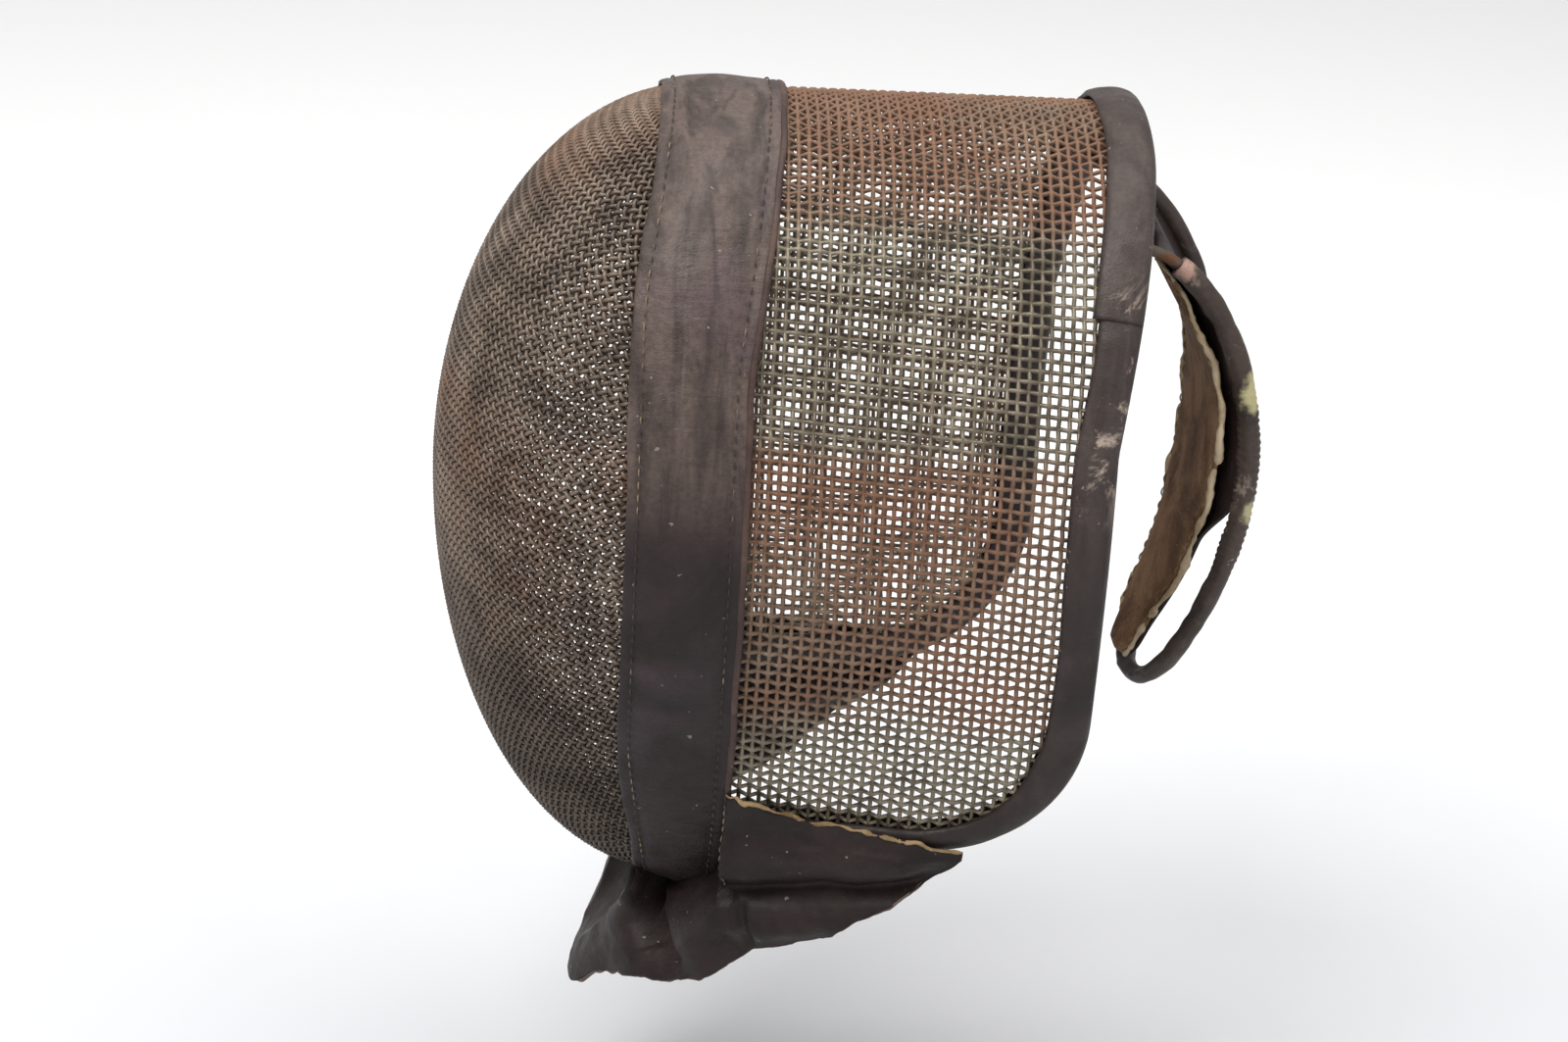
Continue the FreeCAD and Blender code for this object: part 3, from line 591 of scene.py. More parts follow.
def side_mesh():
    """Plain weave: wires along the mask and wires round it, passing over and under."""
    pitch, radius, samples = .0034, .00076, 3
    places = places_by_length(-.005, spacing=.0035)
    rows = np.arange(HOOP_Y + .001, .076, pitch)
    groups = {}

    def add_wire(group, line, normal, keep, more=0):
        """Keep the wire from its first to its last place inside the rim, and a few more."""
        if keep.sum() > 3:
            last = len(keep) - np.argmax(keep[::-1]) + more
            kept = slice(np.argmax(keep), last)
            groups.setdefault(group, []).append((line[kept], normal[kept]))

    y = np.arange(rows[0] - pitch / 2, rows[-1] + pitch, pitch / samples)
    phase = (y - rows[0]) / pitch
    for i, place in enumerate(places):
        normal = skin_normal(place, y)
        over = np.cos(math.pi * phase) * (1 if i % 2 else -1) * LIFT * radius
        wander = wave(y + i * 3.1, .012, 3) * .00018
        side = np.cross(normal, np.array([0, 1, 0]))
        line = skin(place, y) + normal * over[:, None] + side * wander[:, None]
        add_wire("along_left" if place > 0 else "along_right", line, normal, inside_rim(line))

    index = np.arange(0, len(places) - 1 + 1e-9, 1 / samples)
    fine = np.interp(index, np.arange(len(places)), places)
    for j, row in enumerate(rows):
        normal = skin_normal(fine, row)
        over = np.cos(math.pi * index) * (1 if j % 2 else -1) * LIFT * radius
        wander = wave(index * pitch + j * 2.3, .012, 5) * .00015
        line = skin(fine, row) + normal * over[:, None] + np.array([0, 1, 0]) * wander[:, None]
        inside = inside_rim(line)
        add_wire("round_right", line, normal, inside & (fine <= 0), more=1)
        add_wire("round_left", line, normal, inside & (fine > 0))
    wire_pieces("side_wires", groups, radius, WIRE_SIDE, "side_mesh")


def dome_table():
    """Polar angle and radius of the hoop's egg about the dome's axis."""
    x, z = egg(HOOP, np.linspace(-CHIN, CHIN, 16001))
    turn, radius = np.arctan2(x, z - DOME_AXIS), np.hypot(x, z - DOME_AXIS)
    order = np.argsort(turn)
    return turn[order], radius[order]


DOME_TABLE = dome_table()


def dome_level(points):
    """Zero on the dome, positive outside it."""
    x, z = points[..., 0], points[..., 2] - DOME_AXIS
    across = np.hypot(x, z) / np.interp(np.arctan2(x, z), *DOME_TABLE)
    return across ** 2 + ((points[..., 1] - HOOP_Y) / DOME_DEPTH) ** 2 - 1


def dome_slope(points):
    """Gradient of the dome's level."""
    step = 2e-5
    return np.stack([(dome_level(points + move) - dome_level(points - move)) / (2 * step)
                     for move in np.eye(3) * step], axis=-1)


def third_corner(first, second, guess, pitch):
    """Point on the dome one pitch from each of two points, next to a guess."""
    p = guess.copy()
    for _ in range(12):
        rows = np.stack([2 * (p - first), 2 * (p - second), dome_slope(p)], axis=-2)
        miss = np.stack([((p - first) ** 2).sum(-1) - pitch ** 2,
                         ((p - second) ** 2).sum(-1) - pitch ** 2, dome_level(p)], axis=-1)
        p = p - np.linalg.solve(rows, miss[..., None])[..., 0]
    return p


def walk_from_nose(across, pitch, count):
    """Points on the dome a pitch apart, in the plane of its axis and `across`."""
    radius = float(np.interp(math.atan2(across[0], across[2]), *DOME_TABLE))

    def at(angle):
        on_axis = np.array([0, HOOP_Y - DOME_DEPTH * math.cos(angle), DOME_AXIS])
        return on_axis + across * radius * math.sin(angle)

    points, angle = [at(0)], 0.0
    for _ in range(count):
        gap = pitch
        while abs(gap) > 1e-9:
            gap = np.linalg.norm(at(angle) - points[-1]) - pitch
            angle -= gap / radius
        points.append(at(angle))
    return points


def dome_net(pitch, reach):
    """Crossings of a square weave laid on the dome from its nose, on the bias."""
    net = np.full((2 * reach + 1, 2 * reach + 1, 3), np.nan)
    for row_step, column_step in ((1, 0), (0, 1), (-1, 0), (0, -1)):
        across = np.array([row_step - column_step, 0, row_step + column_step]) / math.sqrt(2)
        for k, point in enumerate(walk_from_nose(across, pitch, reach)):
            net[reach + k * row_step, reach + k * column_step] = point
    for row_sign, column_sign in ((1, 1), (1, -1), (-1, 1), (-1, -1)):
        for diagonal in range(2, 2 * reach + 1):
            rows = np.arange(max(1, diagonal - reach), min(diagonal, reach + 1))
            r, c = reach + row_sign * rows, reach + column_sign * (diagonal - rows)
            a, b = net[r - row_sign, c], net[r, c - column_sign]
            corner = net[r - row_sign, c - column_sign]
            good = ~np.isnan(a + b + corner).any(axis=1)
            good &= (a[:, 1] < HOOP_Y + .004) & (b[:, 1] < HOOP_Y + .004)
            if not good.any():
                continue
            a, b, corner = a[good], b[good], corner[good]
            guess = a + b - corner
            found = third_corner(a, b, guess, pitch)
            wrong = ~np.isfinite(found).all(axis=1)
            wrong |= np.linalg.norm(found - corner, axis=1) < pitch * .25
            wrong |= np.linalg.norm(found - guess, axis=1) > pitch
            found[wrong] = np.nan
            net[r[good], c[good]] = found
    return net


def front_mesh():
    """The front mesh: a finer square weave pressed into a dome on the bias."""
    pitch, radius, samples, reach = .0027, .00068, 3, 70
    net = dome_net(pitch, reach)
    groups = {}
    for way, grid, sign in (("weft", net, 1), ("warp", net.transpose(1, 0, 2), -1)):
        for i, points in enumerate(grid):
            good = np.nan_to_num(points[:, 1], nan=1.0) < HOOP_Y + .002
            edges = np.flatnonzero(np.diff(np.concatenate([[0], good.astype(int), [0]])))
            for first, last in zip(edges[::2], edges[1::2]):
                if last - first < 4:
                    continue
                p = points[first:last]
                padded = np.concatenate([[2 * p[0] - p[1]], p, [2 * p[-1] - p[-2]]])
                line = np.concatenate([curved(padded, samples), p[-1:]])
                normal = unit(dome_slope(line))
                step = first + np.arange(len(line)) / samples
                over = np.cos(math.pi * (step + i)) * sign * LIFT * radius
                group = f"{way}_{'upper' if i >= reach else 'lower'}"
                groups.setdefault(group, []).append((line + normal * over[:, None], normal))
    wire_pieces("front_wires", groups, radius, WIRE_FRONT, "front_mesh")


side_mesh()
front_mesh()

# ---- sewing

def stitches(name, line, up, length, radius, body, material=THREAD):
    """Short sewn stitches: small arched threads at the points of a line."""
    t = np.linspace(-1, 1, 5)
    fat = np.array([.35, .9, 1, .9, .35]) * radius
    arch = (1 - t ** 2) * radius * 1.5 - radius * .25
    wires = []
    for middle, along, rise in zip(line, heading(line), np.broadcast_to(up, line.shape)):
        thread = middle + along * (t[:, None] * length / 2) + rise * arch[:, None]
        wires.append((thread, np.broadcast_to(rise, thread.shape)))
    outfit(tubes(name, wires, fat), material, "leather", body)


def raw_edge(name, line, normals, radius, body, seed, slot="leather", material=RAW_EDGE_LEATHER):
    """The pale torn fibres along a cut edge of leather."""
    along = lengths(line)
    fat = radius * (1 + .55 * wave(along, .0035, seed) + .3 * wave(along, .0012, seed + 1))
    up, side = frames(line, normals)
    line = line + side * (wave(along, .006, seed + 2) * radius * 1.1)[:, None]
    line = line + up * (wave(along, .009, seed + 3) * radius * .8)[:, None]
    outfit(sweep(name, tube_rings(line, normals, fat, 6)), material, slot, body)


# ---- hoop band and its lining

BAND_PLACES = places_by_length(HOOP_Y, count=620)
BAND_RING = skin(BAND_PLACES, HOOP_Y)
BAND_SEAM = .0042  # from the band's edge to its line of stitches


def strip_section(inside, outside, count=26):
    """Points round a strip's section: share of its width, height, and how far it faces out."""
    t = np.linspace(0, math.pi, count)
    back = np.linspace(1, 0, count // 2)[1:-1]
    top = inside + (outside - inside) * np.sin(t) ** .28
    return (np.concatenate([(1 - np.cos(t)) / 2, back]),
            np.concatenate([top, np.full(len(back), inside)]),
            np.concatenate([np.sin(t) ** .5, np.zeros(len(back))]))


def strip_round_hoop(name, inside, outside, inset, material, slot, node, bulge=1.0):
    """A leather strip over the joint of the two meshes, outside it or inside it."""
    across, height, share = strip_section(inside, outside)
    ring = BAND_RING
    front, rear = edge_y(BAND_FRONT, ring[:, 2]) + inset, edge_y(BAND_REAR, ring[:, 2]) - inset
    front = (front + noise(ring, .024, 11) * .0007 + noise(ring, .007, 14) * .0002)[:, None]
    rear = (rear + noise(ring, .030, 15) * .0006 + noise(ring, .008, 16) * .0002)[:, None]
    y = front + (rear - front) * across
    base = skin(BAND_PLACES[:, None], y)
    lumps = noise(base, .014, 12) * .00035 + noise(base, [.03, .010, .0035], 13) * .00016
    seams = bump_at(y, front + BAND_SEAM, .0010) + bump_at(y, rear - BAND_SEAM, .0010)
    swell = bump_at(across, .5, .22) * .0008
    tall = height + share * bulge * (lumps - .0006 * seams + swell)
    piece = sweep(name, raised(BAND_PLACES[:, None], y, tall), closed=True)
    outfit(piece, material, slot, "mask", node)


def edge_strip():
    """A narrow folded strip of lighter leather let in along the band's rear edge."""
    ring, turn = BAND_RING, circle(10)
    rear = edge_y(BAND_REAR, ring[:, 2]) + .0002 + noise(ring, .011, 18) * .0004
    lift = np.clip(noise(ring, .017, 17), -.5, 1) * .0006
    y = rear[:, None] + .0012 * np.cos(turn)
    height = .0028 + .0007 * np.sin(turn) + lift[:, None] * (np.cos(turn) + 1) * .5
    piece = sweep("hoop_edge_strip", raised(BAND_PLACES[:, None], y, height), closed=True)
    outfit(piece, EDGE_LEATHER, "leather", "mask")


def band_stitches():
    """A line of stitches along each edge of the band."""
    places = places_by_length(HOOP_Y, spacing=.0042)
    places = places[np.abs(places) < 3.6]
    z = skin(places, HOOP_Y)[:, 2]
    for name, y in (("front", edge_y(BAND_FRONT, z) + BAND_SEAM),
                    ("rear", edge_y(BAND_REAR, z) - BAND_SEAM)):
        stitches(f"band_stitches_{name}", raised(places, y, .0036), skin_normal(places, y),
                 .0026, .00028, "mask")


strip_round_hoop("hoop_band", .0019, .0036, 0, BAND_LEATHER, "leather", "front_band")
strip_round_hoop("hoop_lining", -.0019, -.0034, .003, LINING, "lining", "band_lining", -1)
edge_strip()
band_stitches()

# ---- rear binding

# Section of the folded leather: share of its width in from the rim's edge, height on the mesh.
BINDING_SECTION = closed_curve([
    (1, .0021), (.97, .0036), (.82, .0045), (.55, .0051), (.25, .0048), (-.02, .0036),
    (-.13, .0018), (-.17, 0), (-.13, -.0018), (-.02, -.0032), (.25, -.0038), (.6, -.0038),
    (.9, -.0036), (.97, -.0028), (.93, -.0021), (.5, -.0021), (.12, -.0021), (.06, 0),
    (.12, .0021), (.5, .0021)], 64)


def rim_path(step=.001):
    """(place, y) along the rear rim, from the right front end over the crown to the left."""
    fine = np.linspace(0, CHIN, 4001)
    half = []
    for y, z in RIM_SIDE:
        heights = skin(fine, y)[:, 2]
        if z < heights[0]:
            half.append((np.interp(-z, -heights, fine), y))
    half = np.array(half)
    half = half[half[:, 1] > -.060]
    crown = np.linspace(0, half[0, 0], 60)[:-1]
    half = np.concatenate([np.stack([crown, np.full(len(crown), half[0, 1])], axis=1), half])
    whole = np.concatenate([half[:0:-1] * [-1, 1], half])
    along = lengths(skin(whole[:, 0], whole[:, 1]))
    return looked_up(np.linspace(0, along[-1], int(along[-1] / step) + 1), along, whole)


def bindings():
    """Leather folded round the rear rim: a crown piece and one down each side."""
    place, y = rim_path().T
    line, up = skin(place, y), skin_normal(place, y)
    inward = unit(np.cross(heading(line), up))
    inward *= np.where((inward[:, 1:2] < 0) | (inward[:, 2:3] > .5), 1, -1)
    z = line[:, 2]
    # The crown piece laps over the ends of the side pieces, so it is wider and thicker.
    for side, mine, wide, thick in (("top", z > .0790, .0143, 1.13),
                                    ("left", (z < .0825) & (line[:, 0] > 0), .0120, 1.0),
                                    ("right", (z < .0825) & (line[:, 0] < 0), .0120, 1.0)):
        taper = 0 if side == "top" else .0035 * ramp(-z[mine], .070, .100)
        width = (wide - taper + noise(line[mine], .03, 21) * .0006)[:, None]
        share, height = BINDING_SECTION.T
        w = share * width - np.minimum(share, 0) * (width - .013)
        h = np.broadcast_to(height, w.shape)
        rise = up[mine][:, None, :]
        sections = (line[mine][:, None, :] + inward[mine][:, None, :] * w[..., None]
                    + rise * (h * thick)[..., None])
        dents = (noise(sections, .011, 22) * .0006 + noise(sections, .0042, 23) * .00022
                 + noise(sections, [.02, .02, .006], 24) * .0003)
        sections += rise * (ramp(h, .0024, .0036) * dents)[..., None]
        outfit(sweep(f"rim_binding_{side}", sections), BINDING_LEATHER, "leather", "mask",
               f"rear_binding_{side}")


bindings()

# ---- throat bib

# Sections of the plain skirt: height, front y, half width at the front and at the back, and
# the radius of the front corners.
LEVELS = ((-.088, -.076, .0808, .0952, .036), (-.107, -.0816, .0706, .0914, .038),
          (-.205, -.1105, .0494, .0784, .044))
BIB_BACK = .045
SEAM_Y = -.0605
SEAM, FAR = 1.85, 2.73  # places round the skirt of the vertical seam and of the rear end

# Side views, (y, z): the hem, the raw upper edge and the crease under the jaw.
HEM = np.array([(-.116, -.2050), (-.1098, -.2020), (-.103, -.1880), (-.0952, -.1805),
                (-.0867, -.1765), (-.078, -.1740), (-.0707, -.1712), (-.0646, -.1680),
                (-.0573, -.1635), (-.0491, -.1565), (-.0346, -.1500), (-.0244, -.1440),
                (-.0145, -.1355), (-.0028, -.1290), (.0052, -.1225), (.0129, -.1155),
                (.0189, -.1080), (.030, -.104)])
RAW_EDGE = np.array([(-.062, -.0908), (-.0484, -.0938), (-.0378, -.0965), (-.0273, -.0985),
                     (-.017, -.0993), (-.0046, -.1018), (.0077, -.1036), (.018, -.1060),
                     (.030, -.107)])
CREASE = np.array([(-.073, -.171), (-.0765, -.1626), (-.0815, -.1552), (-.0808, -.1476),
                   (-.0752, -.1397), (-.067, -.1335), (-.062, -.1328), (-.0481, -.1318),
                   (-.0357, -.1295), (-.0258, -.1265), (-.0151, -.1266), (-.0031, -.1243),
                   (.0049, -.1207), (.013, -.1147), (.019, -.110)])
# Where the front flap is sewn to the band: place round the skirt, place round the egg, y.
FLAP_TOP = np.array([(0, 4.0, -.0845), (.3, 3.74, -.0850), (.6, 3.44, -.0870),
                     (.9, 3.18, -.0895), (1.05, 3.12, -.0905), (1.2, 3.24, -.0880),
                     (1.42, 3.38, -.0815), (1.58, 3.36, -.0745), (1.70, 3.13, -.0678),
                     (1.79, 3.02, -.0630), (SEAM, 2.95, -.0615)])


def plan(level, u):
    """Plan of the bib's skirt: 0 to 1 the front, 1 to 2 the corner, 2 to 3 the side."""
    _, front, half_front, half_back, radius = level
    corner = np.array([half_front, front])
    side = np.array([half_back - half_front, BIB_BACK - front])
    length = np.linalg.norm(side)
    side = side / length
    half = math.acos(-side[0]) / 2
    trim = radius / math.tan(half)
    angle = -math.pi / 2 + np.clip(u - 1, 0, 1) * (math.pi - 2 * half)
    far = trim + np.clip(u - 2, 0, 1) * (length - trim)
    parts = [u > 2, u < 1]
    x = np.select(parts, [corner[0] + side[0] * far, u * (half_front - trim)],
                  half_front - trim + radius * np.cos(angle))
    y = np.select(parts, [corner[1] + side[1] * far, np.full(np.shape(u), front)],
                  front + radius + radius * np.sin(angle))
    return x, y


def skirt(u, z):
    """Point of the bib's skirt; u is signed by side."""
    xs, ys = zip(*(plan(level, np.abs(u)) for level in LEVELS))
    top, edge, low = (level[0] for level in LEVELS)
    below = z < edge
    t = np.where(below, (z - edge) / (low - edge), (z - top) / (edge - top))
    x, y = (np.where(below, at[1] + (at[2] - at[1]) * t, at[0] + (at[1] - at[0]) * t)
            for at in (xs, ys))
    return np.stack([np.where(u < 0, -x, x), y, z], axis=-1)


def skirt_normal(u, z):
    step, rise = .01, .001
    across = skirt(u + step, z) - skirt(u - step, z)
    down = skirt(u, z - rise) - skirt(u, z + rise)
    return unit(np.cross(down, across))


def seam_places(z):
    """Place round the plain skirt where it passes the seam's y, by height."""
    low, high = np.full(np.shape(z), 1.0), np.full(np.shape(z), 3.0)
    for _ in range(24):
        middle = (low + high) / 2
        ahead = skirt(middle, z)[..., 1] < SEAM_Y
        low, high = np.where(ahead, middle, low), np.where(ahead, high, middle)
    return low


SEAM_HEIGHTS = np.linspace(-.215, -.085, 60)
SEAM_PLACES = seam_places(SEAM_HEIGHTS)


def bib_skirt(c, z):
    """Point of the skirt and its outward normal; c is 0 at the front, SEAM at the seam."""
    here = np.interp(z, SEAM_HEIGHTS, SEAM_PLACES)
    a = np.abs(c)
    a = np.where(a < SEAM, a * here / SEAM, FAR - (FAR - a) * (FAR - here) / (FAR - SEAM))
    u = np.where(c < 0, -a, a)
    return skirt(u, z), skirt_normal(u, z)


def height_on(curve, c, start):
    """Height where each column of the skirt meets a side-view curve."""
    z = np.full(np.shape(c), start)
    for _ in range(30):
        z = .5 * z + .5 * np.interp(bib_skirt(c, z)[0][..., 1], curve[:, 0], curve[:, 1])
    return z


def crease_distance(y, z):
    """Distance to the crease, positive below and behind it, and how far along it."""
    line = evenly(CREASE, .0012)
    flat = np.stack([y.ravel(), z.ravel()], axis=1)
    nearest = np.argmin(((flat[:, None, :] - line[None]) ** 2).sum(-1), axis=1)
    away, ahead = flat - line[nearest], heading(line)[nearest]
    turn = ahead[:, 0] * away[:, 1] - ahead[:, 1] * away[:, 0]
    distance = -np.sign(turn) * np.hypot(away[:, 0], away[:, 1])
    return distance.reshape(y.shape), (nearest / len(line)).reshape(y.shape)


def bib_folds(base, c, t):
    """How far the leather stands out from its plain skirt."""
    x, y, z = np.moveaxis(base, -1, 0)
    d, along = crease_distance(y, z)
    gusset = ramp(np.abs(c), SEAM - .02, SEAM + .02)
    pocket = 1 - ramp(along, .30, .42)
    rear = 1 - ramp(along, .82, 1.0)
    depth = (.0055 + .0045 * pocket) * rear * ramp(along, 0, .08)
    valley = -depth * bump_at(d, 0, np.where(d > 0, .0026, .0042 + .0060 * pocket))
    lower = .0062 * bump_at(d, .0115, .0085) * rear
    upper = .0046 * bump_at(-d, .015, .012) * gusset * rear
    pleat = -.0026 * bump_at(y + (z + .14) * .22, -.0525, .0022)
    pleat = pleat * ramp(-z, .132, .138) * (1 - ramp(-z, .148, .158))
    flute = .0030 * np.sin((x + .012) / .0125) * ramp(t, .35, 1)
    flute = flute * (1 - ramp(np.abs(c), 1.05, 1.45))
    lumps = (noise(base, .021, 35) * .0017 + noise(base, .008, 36) * .0005
             + noise(base, [.012, .012, .004], 37) * .0004)
    return valley + (lower + upper + lumps) * ramp(t, 0, .2) + pleat + flute


def bib():
    """Leather skirt from the chin and jaw, with rolled folds and a raw upper edge."""
    half = np.concatenate([np.linspace(0, 1, 44), np.linspace(1, SEAM - .012, 96)[1:],
                           np.linspace(SEAM + .002, FAR, 118)])
    c = np.concatenate([-half[:0:-1], half])
    a, run = np.abs(c), np.arange(len(c)) * .0011
    gusset = a > SEAM
    hem = height_on(HEM, c, -.17) + wave(run, .008, 31) * .0009
    raw_z = height_on(RAW_EDGE, c, -.10) + wave(run, .006, 33) * .0012
    raw_top, raw_normal = bib_skirt(c, raw_z)
    place, flap_y = looked_up(a, FLAP_TOP[:, 0], FLAP_TOP[:, 1:]).T
    flap_top = raised(place * np.where(c < 0, -1, 1), flap_y, .0048)
    top = np.where(gusset[:, None], raw_top + raw_normal * .0012, flap_top)
    top_z, hem = top[:, 2:3], hem[:, None]

    # The rows of points follow the crease, which lies two fifths of the way down.
    cc, tt = np.meshgrid(c, np.linspace(0, 1, 80), indexing="ij")
    fold = np.where(gusset, height_on(CREASE, c, -.13),
                    np.interp(a, [0, 1.2, 1.6, SEAM], [-.165, -.158, -.150, -.1345]))
    fold = np.maximum(fold[:, None], hem + .3 * (top_z - hem))
    z = np.where(tt < .4, top_z + (fold - top_z) * tt / .4, fold + (hem - fold) * (tt - .4) / .6)
    base, normal = bib_skirt(cc, z)
    reach = np.interp(a, [0, 1.2, 1.6, SEAM, SEAM + .01], [.045, .036, .020, .009, .030])
    fade = 1 - ramp(top_z - z, 0, reach[:, None])
    base = base + (top - base[:, 0])[:, None, :] * fade[..., None]
    middle = base + normal * bib_folds(base, cc, tt)[..., None]
    edge = normal * (.0009 * np.minimum(1, np.minimum(tt, 1 - tt) / .02 + .4))[..., None]
    piece = closed_sheet("throat_bib", middle + edge, middle - edge)
    outfit(piece, BIB_LEATHER, "leather", "mask", "bib_front", "bib_gusset_left",
           "bib_gusset_right")

    for side, mine in (("left", c > SEAM), ("right", c < -SEAM)):
        raw_edge(f"bib_raw_edge_{side}", middle[mine, 0], normal[mine, 0], .00065, "mask", 41)
    raw_edge("bib_hem_edge", middle[6:-6, -1], normal[6:-6, -1], .00045, "mask", 47,
             material=HEM_EDGE)
    for side, row in (("left", np.flatnonzero(c > SEAM)[1]),
                      ("right", np.flatnonzero(c < -SEAM)[-2])):
        line = evenly(middle[row, :32] + normal[row, :32] * .0010, .0038)
        stitches(f"bib_seam_stitches_{side}", line, normal[row, 5], .0026, .00030, "mask")


bib()

# ---- padded pieces

PADS_Y = -.069


def plump(piece, cell=.0028, pressure=4.0, reach=.0006, frames_run=20):
    """Fill a padded piece: its skin is blown up by cloth simulation, moving only a little."""

    def evaluated():
        graph = bpy.context.evaluated_depsgraph_get()
        return bpy.data.meshes.new_from_object(piece.evaluated_get(graph))

    def places(mesh):
        found = np.empty(len(mesh.vertices) * 3, np.float32)
        mesh.vertices.foreach_get("co", found)
        return found.reshape(-1, 3)

    remesh = piece.modifiers.new("skin", "REMESH")
    remesh.mode, remesh.voxel_size = "VOXEL", cell
    piece.data = evaluated()
    piece.modifiers.clear()
    before = places(piece.data)
    cloth = piece.modifiers.new("filling", "CLOTH")
    cloth.settings.quality = 5
    cloth.settings.mass = .2
    cloth.settings.use_pressure = True
    cloth.settings.uniform_pressure_force = pressure
    cloth.settings.effector_weights.gravity = 0
    cloth.point_cache.frame_start, cloth.point_cache.frame_end = 1, frames_run
    for frame_number in range(1, frames_run + 1):
        bpy.context.scene.frame_set(frame_number)
    moved = places(evaluated()) - before
    bpy.context.scene.frame_set(1)
    piece.modifiers.clear()
    far = np.linalg.norm(moved, axis=1, keepdims=True)
    after = before + moved * np.minimum(1, reach / np.maximum(far, 1e-9))
    piece.data.vertices.foreach_set("co", after.astype(np.float32).ravel())
    smooth = piece.modifiers.new("smooth", "SUBSURF")
    smooth.levels = smooth.render_levels = 1
    piece.data = evaluated()
    piece.modifiers.clear()
    piece.data.polygons.foreach_set("use_smooth", np.full(len(piece.data.polygons), True))
    dress(piece, PAD_LEATHER)


def face_pads():
    """Four leather-covered rolls inside the hoop, tufted every few centimetres."""
    fine = np.linspace(0, CHIN, 4001)
    forehead, cheek_top, cheek_low, jaw = np.interp(
        [-.071, -.054, .084, .101], -skin(fine, PADS_Y)[:, 2], fine)
    turn = circle(28)
    round_y, round_h = (np.sign(v) * np.abs(v) ** .72 for v in (np.cos(turn), np.sin(turn)))
    for name, start, end in (("forehead_pad", -forehead, forehead),
                             ("cheek_pad_left", cheek_top, cheek_low),
                             ("cheek_pad_right", -cheek_low, -cheek_top),
                             ("chin_pad", jaw, 2 * CHIN - jaw)):
        places = np.linspace(start, end, 90)
        places = np.where(places > CHIN, places - 2 * CHIN, places)
        along = lengths(skin(places, PADS_Y))
        taper = np.sqrt(np.clip(1 - (np.abs(along / along[-1] * 2 - 1)) ** 14, .06, 1))[:, None]
        tufts = 1 - .16 * bump_at((along + .011) % .022, .011, .0028)
        y = -.06875 + .0074 * taper * round_y
        height = -.00805 + .0037 * taper * np.where(round_h < 0, tufts[:, None], 1) * round_h
        sections = raised(places[:, None], y, height)
        lumps = noise(sections, .006, 51) * .00025
        sections += lumps[..., None] * skin_normal(places[:, None], y)
        piece = outfit(sweep(name + "_roll", sections), PAD_LEATHER, "leather", "mask", name)
        plump(piece)


face_pads()

# ---- tongue

# The spring's left leg, from its eye in the staple down to the loop at the bottom.
LEG = [(.0585, .064, .098), (.0485, .064, .098), (.0482, .0795, .092), (.0476, .0925, .0785),
       (.0468, .102, .061), (.0458, .1075, .043), (.0446, .1106, .024), (.043, .1104, .004),
       (.041, .107, -.016), (.0376, .101, -.037), (.031, .0925, -.058), (.018, .086, -.071)]
SPRING = rounded(LEG + [(0, .0835, -.075)] + [(-x, y, z) for x, y, z in LEG[::-1]])
PAD_STEP = .0015
PAD_SIDE = rounded([(.0735, .0935), (.084, .0755), (.095, .058), (.1005, .043), (.1018, .027),
                    (.1006, .008), (.0978, -.013), (.092, -.035), (.0845, -.056),
                    (.080, -.066)], step=PAD_STEP)
PAD_SEWN = .42  # share of the half width where the back is stitched through


def sleeve():
    """Leather sleeve sewn round the spring, with its seam facing the pad."""
    line = SPRING[SPRING[:, 2] < .0915]
    along, z = np.arange(len(line)) * .001, line[:, 2]
    turn = circle(18)
    radius = .00325 + wave(along, .02, 61) * .00022 + wave(along, .0045, 62) * .00014
    ribs = .00030 * np.sin(along / .0026 * 2 * math.pi) * ramp(z, -.030, -.005)
    ribs = ribs * (1 - ramp(z, .040, .055))
    seam = .0009 * bump_at(np.minimum(turn, 2 * math.pi - turn), 0, .30)
    wide = (radius + ribs)[:, None] + seam * (1 + .35 * wave(along, .004, 63)[:, None])
    ring = around(line, *frames(line, np.broadcast_to([0, -1, .0], line.shape)), wide, turn)
    ring += (noise(ring, .005, 64) * .00018)[..., None] * unit(ring - line[:, None, :])
    outfit(sweep("tongue_sleeve", ring), SLEEVE_LEATHER, "leather", "tongue",
           "tongue_wire_cover")


def pad_half(z):
    """Half width of the tongue pad at a height, with rounded ends."""
    half = np.mean([np.interp(z + k, [-.068, .020, .096], [.013, .040, .043])
                    for k in (-.012, -.006, 0, .006, .012)], axis=0)
    for room, radius in ((.0945 - z, .012), (z + .0670, .010)):
        room = np.clip(room, 0, radius)
        half = half - radius + np.sqrt(radius ** 2 - (radius - room) ** 2)
    return half


